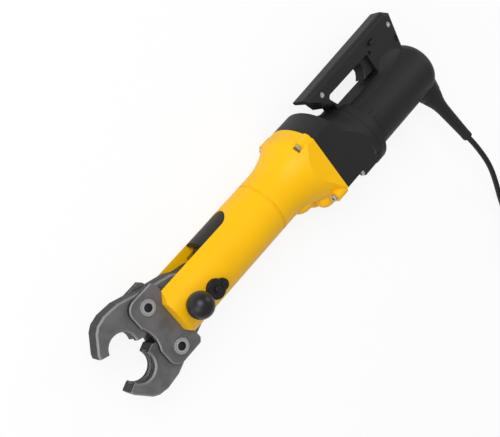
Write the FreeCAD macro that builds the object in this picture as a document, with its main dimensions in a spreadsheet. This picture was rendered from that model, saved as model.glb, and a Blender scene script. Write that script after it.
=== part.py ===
"""Electric pipe press tool: a cast head with a fork, a pair of pressing jaws on a T frame,
a screw driven ram with two rollers, a geared motor unit with a D handle, and its mains lead.

Lengths are millimetres. Every sub-part is drawn in the tool's own axes: X runs from the jaw pin
to the motor, Y towards the D handle and Z towards the ball knob, with 0 on the pin's axis and
on the middle plane. The tool lies on its far side, so the model is raised by half its width and
moved along X, which puts the origin on the flat side of the gear case that it rests on."""
import FreeCAD, Part
import Sketcher
import math
import os

doc = FreeCAD.newDocument("pipe_press_tool")
sheet = doc.addObject("Spreadsheet::Sheet", "Sizes")
finished = []


class Size:
    """A length with the sheet formula that gives it, so that it can both place and bind."""

    def __init__(self, value, text):
        self.value = value
        self.text = text

    def join(self, other, sign, value):
        return Size(value, "(" + self.text + " " + sign + " " + text(other) + ")")

    def __add__(self, other):
        return self.join(other, "+", self.value + number(other))

    def __sub__(self, other):
        return self.join(other, "-", self.value - number(other))

    def __mul__(self, other):
        return self.join(other, "*", self.value * number(other))

    def __truediv__(self, other):
        return self.join(other, "/", self.value / number(other))

    def __radd__(self, other):
        return Size(number(other) + self.value, "(" + text(other) + " + " + self.text + ")")

    def __rsub__(self, other):
        return Size(number(other) - self.value, "(" + text(other) + " - " + self.text + ")")

    def __neg__(self):
        return Size(-self.value, "(0 - " + self.text + ")")

    def root(self):
        return Size(math.sqrt(self.value), "sqrt(" + self.text + ")")


def number(size):
    return size.value if isinstance(size, Size) else float(size)


def text(size):
    return size.text if isinstance(size, Size) else repr(float(size))


class Sizes:
    """The named sizes: each one is a cell of the sheet and, read back from it, an attribute here."""

    def __init__(self):
        self.row = 0

    def add(self, title, **values):
        self.row += 1
        sheet.set("A%d" % self.row, title)
        for name, value in values.items():
            self.row += 1
            sheet.set("A%d" % self.row, name)
            sheet.set("B%d" % self.row, repr(value))
            sheet.setAlias("B%d" % self.row, name)
        doc.recompute()
        for name in values:
            setattr(self, name, Size(float(sheet.get(name)), "Sizes." + name))


S = Sizes()
S.add("Fits", nothing=0, overrun=2, seat_gap=0.3, running_gap=0.05, slide_gap=0.3, socket_share=0.6)
S.add(
    "Head casting",
    tube_radius=33,
    nose_reach=19,
    nose_corner_length=13,
    nose_corner_height=18,
    slot_half=16.5,
    slot_end=101,
    ram_bore_radius=24.4,
    ram_bore_start=44,
    tube_end=140,
    flare_start=155,
    flare_length=65,
    flare_rise=29.2,
    flare_radius=87,
    seam=218,
    bearing_web=170,
    bearing_web_thickness=4,
    spindle_hole_radius=9.5,
    bearing_seat_depth=14,
    clutch_cavity_radius=30,
    ring_step_width=2.5,
    ring_step_depth=0.8,
)
S.add(
    "Case section",
    case_half=42.5,
    side_top=27,
    crown=43.5,
    side_bottom=42,
    keel=50,
)
S.add(
    "Flange screws",
    boss_radius=6.6,
    boss_front=203,
    upper_boss_rise=29,
    upper_boss_side=33.5,
    lower_boss_drop=42,
    lower_boss_side=33,
    flange_screw_radius=2.5,
    flange_screw_head=4.2,
    flange_screw_head_height=3.5,
    flange_screw_length=31,
)
S.add(
    "Jaw pin and latch",
    pin_radius=7,
    pin_tail=36.5,
    pin_top=41,
    knob_radius=14.5,
    knob_height=47.5,
    pin_stroke=34,
    latch_x=28,
    latch_drop=7,
    latch_radius=10.6,
    latch_lobe_x=37,
    latch_lobe_drop=9,
    latch_lobe_radius=6.2,
    latch_seat=28.8,
    latch_height=8.7,
    latch_button_radius=3.6,
    latch_button_stand=2.5,
    latch_button_stroke=2,
    latch_hole_depth=10.3,
    latch_screw_radius=1.5,
    latch_screw_head=2.6,
    latch_screw_length=9,
    pin_point=1.5,
    pin_groove_height=26,
    pin_groove_width=4,
    pin_groove_depth=1.2,
    knob_neck=9,
    knob_neck_depth=14.2,
    latch_bevel=0.9,
    latch_button_depth=7,
)
S.add("Slot covers", cover_start=53, cover_floor=25.6, cover_sink=0.6)
S.add(
    "Jaw frame",
    jaw_pivot_x=33,
    jaw_pivot_y=27.5,
    jaw_half=10,
    frame_gap=0.15,
    frame_plate=6,
    frame_front=51.5,
    frame_waist=47.2,
    frame_half_height=42.5,
    frame_corner=12,
    frame_rear=11,
    frame_rear_height=38,
    frame_neck=14,
    bolt_radius=7,
    bolt_head_radius=8.6,
    bolt_head_height=3,
    bolt_socket_radius=4.6,
    bolt_socket_depth=4,
    frame_shoulder=16,
    frame_rear_bevel=4,
    frame_bevel=1,
    bolt_stud_radius=6.2,
    spring_pin_radius=4.8,
    spring_pin_seat=3,
    spring_strip=1.2,
    spring_leg=19,
    spring_spread=9.2,
    spring_half=5,
)
S.add(
    "Jaws, drawn closed",
    closing_angle=20.5,
    jaw_split_gap=0.15,
    press_centre_x=68.5,
    press_radius=15.5,
    jaw_tip_x=95.5,
    jaw_tip_height=5,
    jaw_cheek_x=89.5,
    jaw_cheek_y=25.5,
    jaw_shoulder_x=75.5,
    jaw_shoulder_y=37.8,
    jaw_back_x=58,
    jaw_back_y=42.6,
    jaw_heel_x=6,
    jaw_heel_y=45,
    jaw_notch_x=16,
    jaw_notch_y=42.6,
    jaw_tail_x=34,
    jaw_tail_y=44.6,
    throat_x=43,
    throat_rise=5.5,
    throat_back=38,
    belly_x=22,
    belly_y=12.5,
    hip_x=10,
    hip_y=18,
    seat_x=5,
    seat_y=22,
    cam_root_x=14,
    cam_root_y=23.72,
    cam_end_x=36,
    cam_end_y=37.36,
    cam_radius=74.375,
    tail_corner_y=42,
    jaw_saddle_x=24.6,
    jaw_saddle_y=43.2,
    jaw_brow_x=85,
    jaw_brow_y=31.8,
    jaw_bevel=1.6,
    jaw_back_rise=36.5,
    jaw_back_reach=34,
    press_groove=6.8,
    press_groove_depth=1.8,
)
S.add(
    "Ram and rollers",
    ram_stroke=42,
    roller_x=60,
    roller_radius=12,
    roller_gap=0.3,
    roller_pin_radius=4.5,
    clevis_boss=7.2,
    clevis_half=16.1,
    clevis_slot_half=10.3,
    clevis_web=73.5,
    ram_front=87,
    ram_end=144,
    nut_start=124,
    nut_radius=14,
    nut_flange_radius=19,
    nut_flange=4,
    spindle_tip_gap=0.5,
    roller_bevel=0.8,
)
S.add(
    "Spindle",
    spindle_radius=9,
    spindle_tip=80,
    spindle_shoulder=152,
    spindle_shoulder_length=6,
    spindle_shoulder_radius=13,
    spindle_shaft_radius=8,
    spindle_end=261,
    spindle_pitch=5,
    radial_bearing_radius=20,
    race_width=3,
    race_depth=0.6,
)
S.add(
    "Gears",
    gear_plate=4,
    lay_shaft_radius=4,
    lay_shaft_y=21.2,
    lay_shaft_z=19.8,
    gear_cavity_end=262,
    lay_cavity_radius=17.5,
    pinion_cavity_radius=12,
    motor_teeth=10,
    lay_gear_teeth=30,
    lay_pinion_teeth=11,
    final_teeth=47,
    tooth_module=1,
    final_gear_width=10,
    lay_gear_x=252,
    lay_gear_width=7,
    clutch_radius=18,
    friction_width=3,
    clutch_hub_width=6,
    spring_washer_width=1.2,
    clutch_x=225,
    clutch_nut_radius=11.5,
    clutch_nut_width=4,
    washer_thickness=1.2,
    pinion_stub_radius=2.5,
    lay_shaft_seat=5,
    gear_plate_radius=36,
    gear_plate_bore=19,
    final_cavity_radius=26,
    nut_cavity_radius=12.6,
    case_rear=270,
    root_share=1.25,
    tip_share=0.8,
    tooth_root_share=0.9,
    tooth_tip_share=0.28,
)
S.add(
    "Gear case",
    case_end=284,
    bell_start=244,
    bell_start_radius=71,
    bell_mid=256,
    bell_mid_radius=52,
    bell_end=276,
    neck_radius=38,
    neck_end=297,
    neck_groove_start=289,
    neck_groove_width=4,
    neck_groove_depth=3,
    neck_bore_radius=30,
    foot_boss_radius=6,
    foot_boss_start=249,
    foot_boss_end=274,
    foot_boss_drop=46,
    foot_boss_side=35,
    foot_screw_length=22,
)
S.add(
    "Motor unit",
    motor_drop=24,
    collar_radius=42.5,
    collar_length=10,
    barrel_start=299,
    barrel_radius=34,
    barrel_end=404,
    barrel_wall=3.5,
    cavity_start=303,
    armature_x=322,
    armature_length=46,
    armature_radius=20,
    shaft_radius=5,
    shaft_end=413.5,
    commutator_x=378,
    commutator_length=16,
    commutator_radius=12,
    fan_x=311,
    fan_width=5.5,
    fan_radius=25,
    motor_bearing_radius=11,
    motor_bearing_width=7,
    rear_bearing_x=407,
    stator_gap=1,
    brush_width=8,
    brush_length=12,
    housing_start=284.4,
    dome_end=426.5,
    dome_shoulder_x=420,
    dome_shoulder_radius=22,
    dome_corner=17,
    shield_width=5,
    shield_lip=28,
    armature_slot=3,
    armature_slot_depth=8,
    armature_slots=12,
    fan_plate=2.4,
    fan_hub=8,
    fan_blades=9,
    coil_width=5,
    brush_wall=1.2,
)
S.add(
    "D handle, heights from the motor axis",
    grip_half=13,
    grip_round=6,
    nose_tip_x=255,
    nose_tip_y=76.5,
    nose_under_x=258,
    nose_under_y=70.5,
    nose_root_x=266,
    nose_root_y=64.5,
    pillar_x=270,
    pillar_y=53,
    grip_top_x=410,
    grip_top_y=81,
    grip_back_x=419,
    grip_back_y=73,
    grip_waist_x=409,
    grip_waist_y=33,
    window_front=283,
    window_foot=293,
    window_top=59,
    window_rear=358,
    window_corner=4,
    window_round=6,
    pillar_foot_y=43.5,
    grip_depth=15,
    window_bottom=33.6,
)
S.add(
    "Trigger and switch",
    trigger_half=8.5,
    trigger_top=62,
    trigger_front_x=345,
    trigger_waist_x=346.5,
    trigger_waist_y=51,
    trigger_toe_x=338.5,
    trigger_toe_y=38.5,
    trigger_back_x=368,
    trigger_pivot_x=362,
    trigger_pivot_y=58,
    trigger_pivot_radius=2.5,
    trigger_angle=8,
    switch_x=371.5,
    switch_length=25,
    switch_bottom=36,
    switch_height=24,
    switch_half=8,
    reverser_x=372,
    reverser_y=66,
    reverser_length=8,
    reverser_height=4,
    reverser_half=16,
    reverser_stroke=3,
    trigger_curve=22,
    trigger_round=2.5,
    plunger_y=47,
    plunger_radius=2.5,
    plunger_length=1.5,
    pocket_bottom=36,
    pocket_end=398,
    wire_gap=6,
)
S.add(
    "Housing screws, heights from the motor axis",
    housing_screw_radius=2,
    housing_screw_head=3.5,
    housing_screw_recess=4,
    front_screw_x=279,
    front_screw_y=65,
    rear_screw_x=408,
    rear_screw_y=64,
    base_screw_x=404.5,
    base_screw_y=46,
)
S.add(
    "Lead sleeve and its outlet, from the motor axis",
    relief_x=409,
    relief_root=28,
    relief_lean=9.5,
    relief_root_radius=13.5,
    relief_shoulder=6,
    relief_tip_radius=6.4,
    relief_length=80,
    relief_neck=9,
    relief_seat=6,
    relief_flange=11,
    relief_flange_width=4,
    outlet_radius=14.5,
    outlet_base_radius=20,
    outlet_reach=14,
    outlet_rise=10,
    cord_diameter=7,
)
S.add(
    "Lead",
    lead_start_share=0.5,
    bend_share=0.45,
    lead_exit=18,
    lead_straight=15,
    lead_lift=0.3,
    coil_left=437,
    coil_drop=325,
    coil_radius=51.75,
    coil_pitch=7.5,
    coil_layers=4,
    coil_half_turns=6,
    tail_straight=26,
    tail_fall=24,
    tail_end=24,
    tie_thickness=1,
    tie_gap=0.4,
    tie_corner=2,
    tie_width=9,
)
S.add(
    "Plug",
    plug_radius=18.5,
    plug_sleeve=5,
    plug_sleeve_base=8,
    plug_sleeve_length=20,
    plug_waist=11,
    plug_taper=8,
    plug_length=28,
    plug_pin_radius=2.4,
    plug_pin_spacing=19,
    plug_pin_length=19,
)
doc.recompute()


# Places on the tool
rest_x = (S.seam + S.bell_start) / 2


def place(thing, x=0, y=0, z=0):
    """Seat a sub-part's frame at a point of the tool's axes, above the surface that it lies on."""
    for axis, size in (("x", x - rest_x), ("y", y), ("z", z + S.case_half)):
        if isinstance(size, Size):
            thing.setExpression("Placement.Base." + axis, size.text)


def body(name, x=0, y=0, z=0):
    made = doc.addObject("PartDesign::Body", name)
    made.Label = name
    place(made, x, y, z)
    finished.append(made)
    return made


def origin_feature(part, role):
    return [f for f in part.Origin.OriginFeatures if f.Role == role][0]


def sketch_on(part, plane, height=0):
    """An empty sketch on one of the body's own planes, moved along that plane's normal."""
    drawn = part.newObject("Sketcher::SketchObject", part.Label + "_sketch")
    drawn.AttachmentSupport = [(origin_feature(part, plane + "_Plane"), "")]
    drawn.MapMode = "FlatFace"
    if isinstance(height, Size):
        drawn.setExpression("AttachmentOffset.Base.z", height.text)
    elif height:
        drawn.AttachmentOffset = FreeCAD.Placement(FreeCAD.Vector(0, 0, height), FreeCAD.Rotation())
    return drawn


def pin_point(drawn, rules, formulas, geometry, end, point):
    """Hold one end of a line or arc at a point: on an axis where it is 0, else by a bound distance."""
    for kind, axis, size in (("DistanceX", -2, point[0]), ("DistanceY", -1, point[1])):
        if number(size) == 0:
            rules.append(Sketcher.Constraint("PointOnObject", geometry, end, axis))
            formulas.append(None)
        else:
            rules.append(Sketcher.Constraint(kind, -1, 1, geometry, end, number(size)))
            formulas.append(text(size))


def loop(drawn, points, arcs=None):
    """Draw a closed outline. arcs gives, for the edge after a point, a radius: positive bulges
    to the right of the way round, negative to the left."""
    arcs = arcs or {}
    rules = []
    formulas = []
    count = len(points)
    first = drawn.GeometryCount
    starts = []
    ends = []
    for i, point in enumerate(points):
        a = FreeCAD.Vector(number(point[0]), number(point[1]), 0)
        following = points[(i + 1) % count]
        b = FreeCAD.Vector(number(following[0]), number(following[1]), 0)
        if i not in arcs:
            drawn.addGeometry(Part.LineSegment(a, b))
            starts.append(1)
            ends.append(2)
            continue
        radius = number(arcs[i])
        middle = (a + b) / 2
        half = (b - a).Length / 2
        across = FreeCAD.Vector(-(b - a).y, (b - a).x, 0).normalize()
        reach = math.sqrt(max(radius * radius - half * half, 0))
        centre = middle + across * (reach if radius > 0 else -reach)
        top = middle - across * ((abs(radius) - reach) if radius > 0 else -(abs(radius) - reach))
        turn = (a, top, b) if radius > 0 else (b, top, a)
        drawn.addGeometry(Part.Arc(*turn))
        starts.append(1 if radius > 0 else 2)
        ends.append(2 if radius > 0 else 1)
        rules.append(Sketcher.Constraint("Radius", first + i, abs(radius)))
        formulas.append(text(arcs[i]) if radius > 0 else text(-arcs[i]))
    for i in range(count):
        after = (i + 1) % count
        rules.append(Sketcher.Constraint("Coincident", first + i, ends[i], first + after, starts[after]))
        formulas.append(None)
        pin_point(drawn, rules, formulas, first + i, starts[i], points[i])
    bind(drawn, rules, formulas)


def circle(drawn, radius, x=0, y=0):
    at = drawn.GeometryCount
    middle = FreeCAD.Vector(number(x), number(y), 0)
    drawn.addGeometry(Part.Circle(middle, FreeCAD.Vector(0, 0, 1), number(radius)))
    rules = [Sketcher.Constraint("Radius", at, number(radius))]
    formulas = [text(radius)]
    if number(x) == 0 and number(y) == 0:
        rules.append(Sketcher.Constraint("Coincident", at, 3, -1, 1))
        formulas.append(None)
    else:
        pin_point(drawn, rules, formulas, at, 3, (x, y))
    bind(drawn, rules, formulas)


def bind(drawn, rules, formulas):
    start = drawn.ConstraintCount
    drawn.addConstraint(rules)
    for i, formula in enumerate(formulas):
        if formula is not None:
            drawn.setExpression("Constraints[%d]" % (start + i), formula)


def feature(part, kind, drawn):
    made = part.newObject("PartDesign::" + kind, part.Label + "_" + kind.lower())
    made.Profile = drawn
    drawn.Visibility = False
    return made


def pad(part, drawn, length, both=False, back=False):
    made = feature(part, "Pad", drawn)
    made.setExpression("Length", text(length))
    made.Midplane = both
    made.Reversed = back
    return made


def pocket(part, drawn, length, both=False, back=False):
    made = feature(part, "Pocket", drawn)
    made.setExpression("Length", text(length))
    made.Midplane = both
    made.Reversed = back
    return made


def turned(part, kind, drawn, axis="X", angle=360.0, back=False):
    """Turn a sketch about one of the body's axes, its own V axis or its construction line."""
    made = feature(part, kind, drawn)
    if axis is None:
        made.ReferenceAxis = (drawn, ["Axis0"])
    elif axis == "sketch":
        made.ReferenceAxis = (drawn, ["V_Axis"])
    else:
        made.ReferenceAxis = (origin_feature(part, axis + "_Axis"), [""])
    made.Angle = angle
    made.Reversed = back
    return made


def soften(part, kind, base, size, choose):
    """Fillet or chamfer the edges of the last feature that choose picks by their middle point."""
    doc.recompute()
    names = []
    for i, edge in enumerate(base.Shape.Edges):
        middle = edge.valueAt((edge.FirstParameter + edge.LastParameter) / 2)
        if choose(edge, middle):
            names.append("Edge%d" % (i + 1))
    made = part.newObject("PartDesign::" + kind, part.Label + "_" + kind.lower())
    made.Base = (base, names)
    made.setExpression("Radius" if kind == "Fillet" else "Size", text(size))
    return made


def shape_part(name, shape):
    """A sub-part whose shape is worked out in code, in the tool's axes."""
    made = doc.addObject("Part::Feature", name)
    made.Label = name
    made.Shape = shape
    place(made)
    finished.append(made)
    return made


def bar(name, start, length, radius, y=0, z=0, bore=None):
    """A round bar or ring along X, drawn as one padded sketch."""
    part = body(name, start, y, z)
    drawn = sketch_on(part, "YZ")
    circle(drawn, radius)
    if bore is not None:
        circle(drawn, bore)
    pad(part, drawn, length)
    return part


# Case section, shared by the head's flange and the gear case
def arc_radius(half, rise):
    return Size(
        (half.value**2 + rise.value**2) / (2 * rise.value),
        "((%s * %s + %s * %s) / (2 * %s))" % (half.text, half.text, rise.text, rise.text, rise.text),
    )


def case_section(drawn, inset=0):
    half = S.case_half - inset
    top = S.side_top - inset
    crown = S.crown - inset
    bottom = S.side_bottom - inset
    keel = S.keel - inset
    loop(
        drawn,
        [(top, half), (-bottom, half), (-bottom, -half), (top, -half)],
        {1: arc_radius(half, keel - bottom), 3: arc_radius(half, crown - top)},
    )


def boss_places():
    return [
        (S.upper_boss_rise, S.upper_boss_side),
        (S.upper_boss_rise, -S.upper_boss_side),
        (-S.lower_boss_drop, S.lower_boss_side),
        (-S.lower_boss_drop, -S.lower_boss_side),
    ]


def latch_circles():
    return [
        (S.latch_radius, S.latch_x, S.latch_drop),
        (S.latch_lobe_radius, S.latch_lobe_x, S.latch_lobe_drop),
    ]


# Head casting
def head_housing():
    part = body("head_housing")
    section = sketch_on(part, "YZ", -S.nose_reach)
    case_section(section)
    pad(part, section, S.nose_reach + S.seam)

    outside = sketch_on(part, "XY")
    wide = S.case_half * 2
    loop(
        outside,
        [
            (-S.nose_reach - S.overrun, S.tube_radius),
            (S.flare_start, S.tube_radius),
            (S.flare_start + S.flare_length, S.tube_radius + S.flare_rise),
            (S.flare_start + S.flare_length, wide),
            (-S.nose_reach - S.overrun, wide),
        ],
        {1: S.flare_radius},
    )
    turned(part, "Groove", outside)

    bosses = sketch_on(part, "YZ", S.boss_front)
    for y, z in boss_places():
        circle(bosses, S.boss_radius, y, z)
    pad(part, bosses, S.seam - S.boss_front)

    slot = sketch_on(part, "XZ")
    round_x = S.slot_end - S.slot_half
    loop(
        slot,
        [
            (-S.nose_reach - S.overrun, -S.slot_half),
            (round_x, -S.slot_half),
            (S.slot_end, 0),
            (round_x, S.slot_half),
            (-S.nose_reach - S.overrun, S.slot_half),
        ],
        {1: S.slot_half, 2: S.slot_half},
    )
    pocket(part, slot, S.tube_radius * 2 + S.overrun, both=True)

    inside = sketch_on(part, "XY")
    web_end = S.bearing_web + S.bearing_web_thickness
    seat_end = web_end + S.bearing_seat_depth
    loop(
        inside,
        [
            (S.ram_bore_start, 0),
            (S.ram_bore_start, S.ram_bore_radius),
            (S.bearing_web, S.ram_bore_radius),
            (S.bearing_web, S.spindle_hole_radius),
            (web_end, S.spindle_hole_radius),
            (web_end, S.radial_bearing_radius + S.running_gap),
            (seat_end, S.radial_bearing_radius + S.running_gap),
            (seat_end, S.clutch_cavity_radius),
            (S.seam + S.overrun, S.clutch_cavity_radius),
            (S.seam + S.overrun, 0),
        ],
    )
    turned(part, "Groove", inside)

    step = sketch_on(part, "XY")
    loop(
        step,
        [
            (S.tube_end - S.ring_step_width, S.tube_radius - S.ring_step_depth),
            (S.tube_end, S.tube_radius - S.ring_step_depth),
            (S.tube_end, S.tube_radius + S.overrun),
            (S.tube_end - S.ring_step_width, S.tube_radius + S.overrun),
        ],
    )
    turned(part, "Groove", step)

    corners = sketch_on(part, "XY")
    out = S.tube_radius + S.overrun
    for side in (1, -1):
        loop(
            corners,
            [
                (-S.nose_reach - S.overrun, S.nose_corner_height * side),
                (-S.nose_reach, S.nose_corner_height * side),
                (-S.nose_reach + S.nose_corner_length, out * side),
                (-S.nose_reach - S.overrun, out * side),
            ],
        )
    pocket(part, corners, S.case_half * 2, both=True)

    bore = sketch_on(part, "XY")
    circle(bore, S.pin_radius + S.running_gap)
    pocket(part, bore, S.case_half * 2, both=True)

    for radius, x, drop in latch_circles():
        face = sketch_on(part, "XY", S.latch_seat)
        circle(face, radius + S.seat_gap, x, -drop)
        pocket(part, face, S.case_half - S.latch_seat, back=True)

    holes = sketch_on(part, "XY", S.latch_seat + S.overrun)
    circle(holes, S.latch_button_radius + S.running_gap * 2, S.latch_x, -S.latch_drop)
    pocket(part, holes, S.latch_hole_depth + S.overrun)
    screw_hole = sketch_on(part, "XY", S.latch_seat + S.overrun)
    circle(screw_hole, S.latch_screw_radius + S.running_gap, S.latch_lobe_x, -S.latch_lobe_drop)
    pocket(part, screw_hole, S.latch_screw_length)

    faces = sketch_on(part, "YZ", S.boss_front)
    for y, z in boss_places():
        circle(faces, S.flange_screw_head + S.slide_gap, y, z)
    pocket(part, faces, S.flange_screw_head_height + S.overrun)
    threads = sketch_on(part, "YZ", S.boss_front - S.overrun)
    for y, z in boss_places():
        circle(threads, S.flange_screw_radius + S.running_gap, y, z)
    pocket(part, threads, S.seam - S.boss_front + S.overrun * 2, back=True)
    return part


def slot_covers():
    """The two plugs that close the slot over the rollers, flush with the cast tube."""
    part = body("slot_covers")
    part.AllowCompound = True
    round_x = S.slot_end - S.slot_half
    for side in (1, -1):
        plan = sketch_on(part, "XZ", S.cover_floor * -side)
        loop(
            plan,
            [
                (S.cover_start, -S.slot_half),
                (round_x, -S.slot_half),
                (S.slot_end, 0),
                (round_x, S.slot_half),
                (S.cover_start, S.slot_half),
            ],
            {1: S.slot_half, 2: S.slot_half},
        )
        pad(part, plan, S.tube_radius - S.cover_floor, back=side > 0)
    top = sketch_on(part, "XY")
    box_loop(
        top,
        S.cover_start - S.overrun,
        S.tube_radius - S.cover_sink,
        S.slot_end + S.overrun,
        S.case_half,
    )
    turned(part, "Groove", top)


def screws(name, x, places, radius, length, head, head_height):
    """A group of equal screws along X with their heads towards the jaws, drawn in one body."""
    part = body(name, x)
    part.AllowCompound = True
    heads = sketch_on(part, "YZ")
    for y, z in places:
        circle(heads, head, y, z)
    pad(part, heads, head_height, back=True)
    shanks = sketch_on(part, "YZ")
    for y, z in places:
        circle(shanks, radius, y, z)
    pad(part, shanks, length)
    sockets = sketch_on(part, "YZ", -head_height)
    for y, z in places:
        hexagon(sockets, head * S.socket_share, y, z)
    pocket(part, sockets, head_height * S.socket_share, back=True)


def hexagon(drawn, radius, x, y):
    corners = []
    for i in range(6):
        angle = math.pi / 3 * i
        corners.append((x + radius * math.cos(angle), y + radius * math.sin(angle)))
    loop(drawn, corners)


# Jaw pin, its knob and its latch
def retaining_pin():
    part = body("retaining_pin")
    drawn = sketch_on(part, "XZ")
    loop(
        drawn,
        [
            (0, -S.pin_tail),
            (S.pin_radius - S.pin_point, -S.pin_tail),
            (S.pin_radius, -S.pin_tail + S.pin_point),
            (S.pin_radius, S.pin_groove_height - S.pin_groove_width),
            (S.pin_radius - S.pin_groove_depth, S.pin_groove_height - S.pin_groove_width),
            (S.pin_radius - S.pin_groove_depth, S.pin_groove_height),
            (S.pin_radius, S.pin_groove_height),
            (S.pin_radius, S.pin_top),
            (0, S.pin_top),
        ],
    )
    turned(part, "Revolution", drawn, axis="Z")


def ball_knob():
    part = body("ball_knob", 0, 0, S.knob_height)
    drawn = sketch_on(part, "XZ")
    hole = S.pin_top - S.knob_height
    loop(
        drawn,
        [
            (S.pin_radius, -S.knob_neck_depth),
            (S.knob_neck, -S.knob_neck_depth),
            (S.knob_neck, -(S.knob_radius * S.knob_radius - S.knob_neck * S.knob_neck).root()),
            (0, S.knob_radius),
            (0, hole),
            (S.pin_radius, hole),
        ],
        {2: S.knob_radius},
    )
    turned(part, "Revolution", drawn, axis="Z")


def latch():
    base = body("latch_base", 0, 0, S.latch_seat)
    for radius, x, drop in latch_circles():
        drawn = sketch_on(base, "XY")
        circle(drawn, radius, x, -drop)
        pad(base, drawn, S.latch_height - S.latch_bevel)
        crown = sketch_on(base, "XY", S.latch_height - S.latch_bevel)
        circle(crown, radius - S.latch_bevel, x, -drop)
        pad(base, crown, S.latch_bevel)
    holes = sketch_on(base, "XY")
    circle(holes, S.latch_button_radius + S.running_gap * 2, S.latch_x, -S.latch_drop)
    circle(holes, S.latch_screw_radius, S.latch_lobe_x, -S.latch_lobe_drop)
    pocket(base, holes, S.latch_height, back=True)

    button = body("latch_button", S.latch_x, -S.latch_drop, S.latch_seat)
    drawn = sketch_on(button, "XY", -S.latch_button_depth)
    circle(drawn, S.latch_button_radius)
    made = pad(button, drawn, S.latch_button_depth + S.latch_height + S.latch_button_stand)
    soften(button, "Fillet", made, S.latch_bevel, lambda edge, m: m.z > S.latch_height.value)

    screw = body("latch_screw", S.latch_lobe_x, -S.latch_lobe_drop, S.latch_seat)
    drawn = sketch_on(screw, "XY", -S.latch_screw_length + S.overrun)
    circle(drawn, S.latch_screw_radius)
    pad(screw, drawn, S.latch_screw_length - S.overrun + S.latch_height)
    head = sketch_on(screw, "XY", S.latch_height)
    circle(head, S.latch_screw_head)
    pad(screw, head, S.latch_screw_radius)
    socket = sketch_on(screw, "XY", S.latch_height)
    hexagon(socket, S.latch_screw_head * S.socket_share, S.nothing, S.nothing)
    pocket(screw, socket, S.latch_screw_radius, back=True)


# Jaw frame: two plates, their bolts and the spring between the tails
def jaw_plate(name, side):
    part = body(name)
    drawn = sketch_on(part, "XY", (S.jaw_half + S.frame_gap) * side)
    front = -S.frame_front
    top = S.frame_half_height
    shoulder = S.frame_shoulder
    corner = S.frame_corner
    loop(
        drawn,
        [
            (S.frame_neck, 0),
            (0, S.frame_neck),
            (-S.frame_rear, S.frame_neck),
            (-S.frame_rear, S.frame_rear_height),
            (-S.frame_rear - S.frame_rear_bevel, top),
            (front + corner, top),
            (front, top - corner),
            (front, shoulder),
            (front, -shoulder),
            (front, -top + corner),
            (front + corner, -top),
            (-S.frame_rear - S.frame_rear_bevel, -top),
            (-S.frame_rear, -S.frame_rear_height),
            (-S.frame_rear, -S.frame_neck),
            (0, -S.frame_neck),
        ],
        {
            0: S.frame_neck,
            5: corner,
            7: -arc_radius(shoulder, S.frame_front - S.frame_waist),
            9: corner,
            14: S.frame_neck,
        },
    )
    circle(drawn, S.pin_radius + S.running_gap)
    circle(drawn, S.bolt_radius, -S.jaw_pivot_x, S.jaw_pivot_y)
    circle(drawn, S.bolt_radius, -S.jaw_pivot_x, -S.jaw_pivot_y)
    plate = pad(part, drawn, S.frame_plate, back=side < 0)
    outer = (S.jaw_half + S.frame_gap + S.frame_plate).value
    soften(
        part,
        "Chamfer",
        plate,
        S.frame_bevel,
        lambda edge, m: abs(abs(m.z) - outer) < 1e-3 and m.x < -S.frame_waist.value + 1e-3,
    )
    seat = sketch_on(part, "XY", (S.jaw_half + S.frame_gap) * side)
    circle(seat, S.spring_pin_radius, -S.jaw_pivot_x, S.nothing)
    pocket(part, seat, S.spring_pin_seat, back=side > 0)


def jaw_bolts():
    part = body("jaw_bolts", -S.jaw_pivot_x)
    part.AllowCompound = True
    half = S.jaw_half + S.frame_gap + S.frame_plate
    for radius, length in ((S.bolt_radius, half), (S.bolt_stud_radius, half + S.bolt_head_height)):
        drawn = sketch_on(part, "XY")
        for y in (S.jaw_pivot_y, -S.jaw_pivot_y):
            circle(drawn, radius, S.nothing, y)
        pad(part, drawn, length * 2, both=True)
    for side in (1, -1):
        drawn = sketch_on(part, "XY", (half + S.bolt_head_height) * side)
        for y in (S.jaw_pivot_y, -S.jaw_pivot_y):
            hexagon(drawn, S.bolt_socket_radius, S.nothing, y)
        pocket(part, drawn, S.bolt_socket_depth, back=side < 0)

    rings = body("jaw_bolt_rings", -S.jaw_pivot_x)
    rings.AllowCompound = True
    for side in (1, -1):
        drawn = sketch_on(rings, "XY", half * side)
        for y in (S.jaw_pivot_y, -S.jaw_pivot_y):
            circle(drawn, S.bolt_head_radius, S.nothing, y)
            circle(drawn, S.bolt_stud_radius, S.nothing, y)
        pad(rings, drawn, S.bolt_head_height, back=side < 0)


def jaw_spring():
    part = body("jaw_spring", -S.jaw_pivot_x)
    drawn = sketch_on(part, "XY")
    outer = S.spring_pin_radius + S.spring_strip
    inner = S.spring_pin_radius
    loop(
        drawn,
        [
            (-outer, 0),
            (0, -outer),
            (S.spring_leg, -S.spring_spread),
            (S.spring_leg, -S.spring_spread + S.spring_strip),
            (0, -inner),
            (-inner, 0),
            (0, inner),
            (S.spring_leg, S.spring_spread - S.spring_strip),
            (S.spring_leg, S.spring_spread),
            (0, outer),
        ],
        {0: outer, 4: -inner, 5: -inner, 9: outer},
    )
    pad(part, drawn, S.spring_half * 2, both=True)
    pin = body("spring_pin", -S.jaw_pivot_x)
    drawn = sketch_on(pin, "XY")
    circle(drawn, S.spring_pin_radius)
    pad(pin, drawn, (S.jaw_half + S.frame_gap + S.spring_pin_seat) * 2, both=True)


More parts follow.
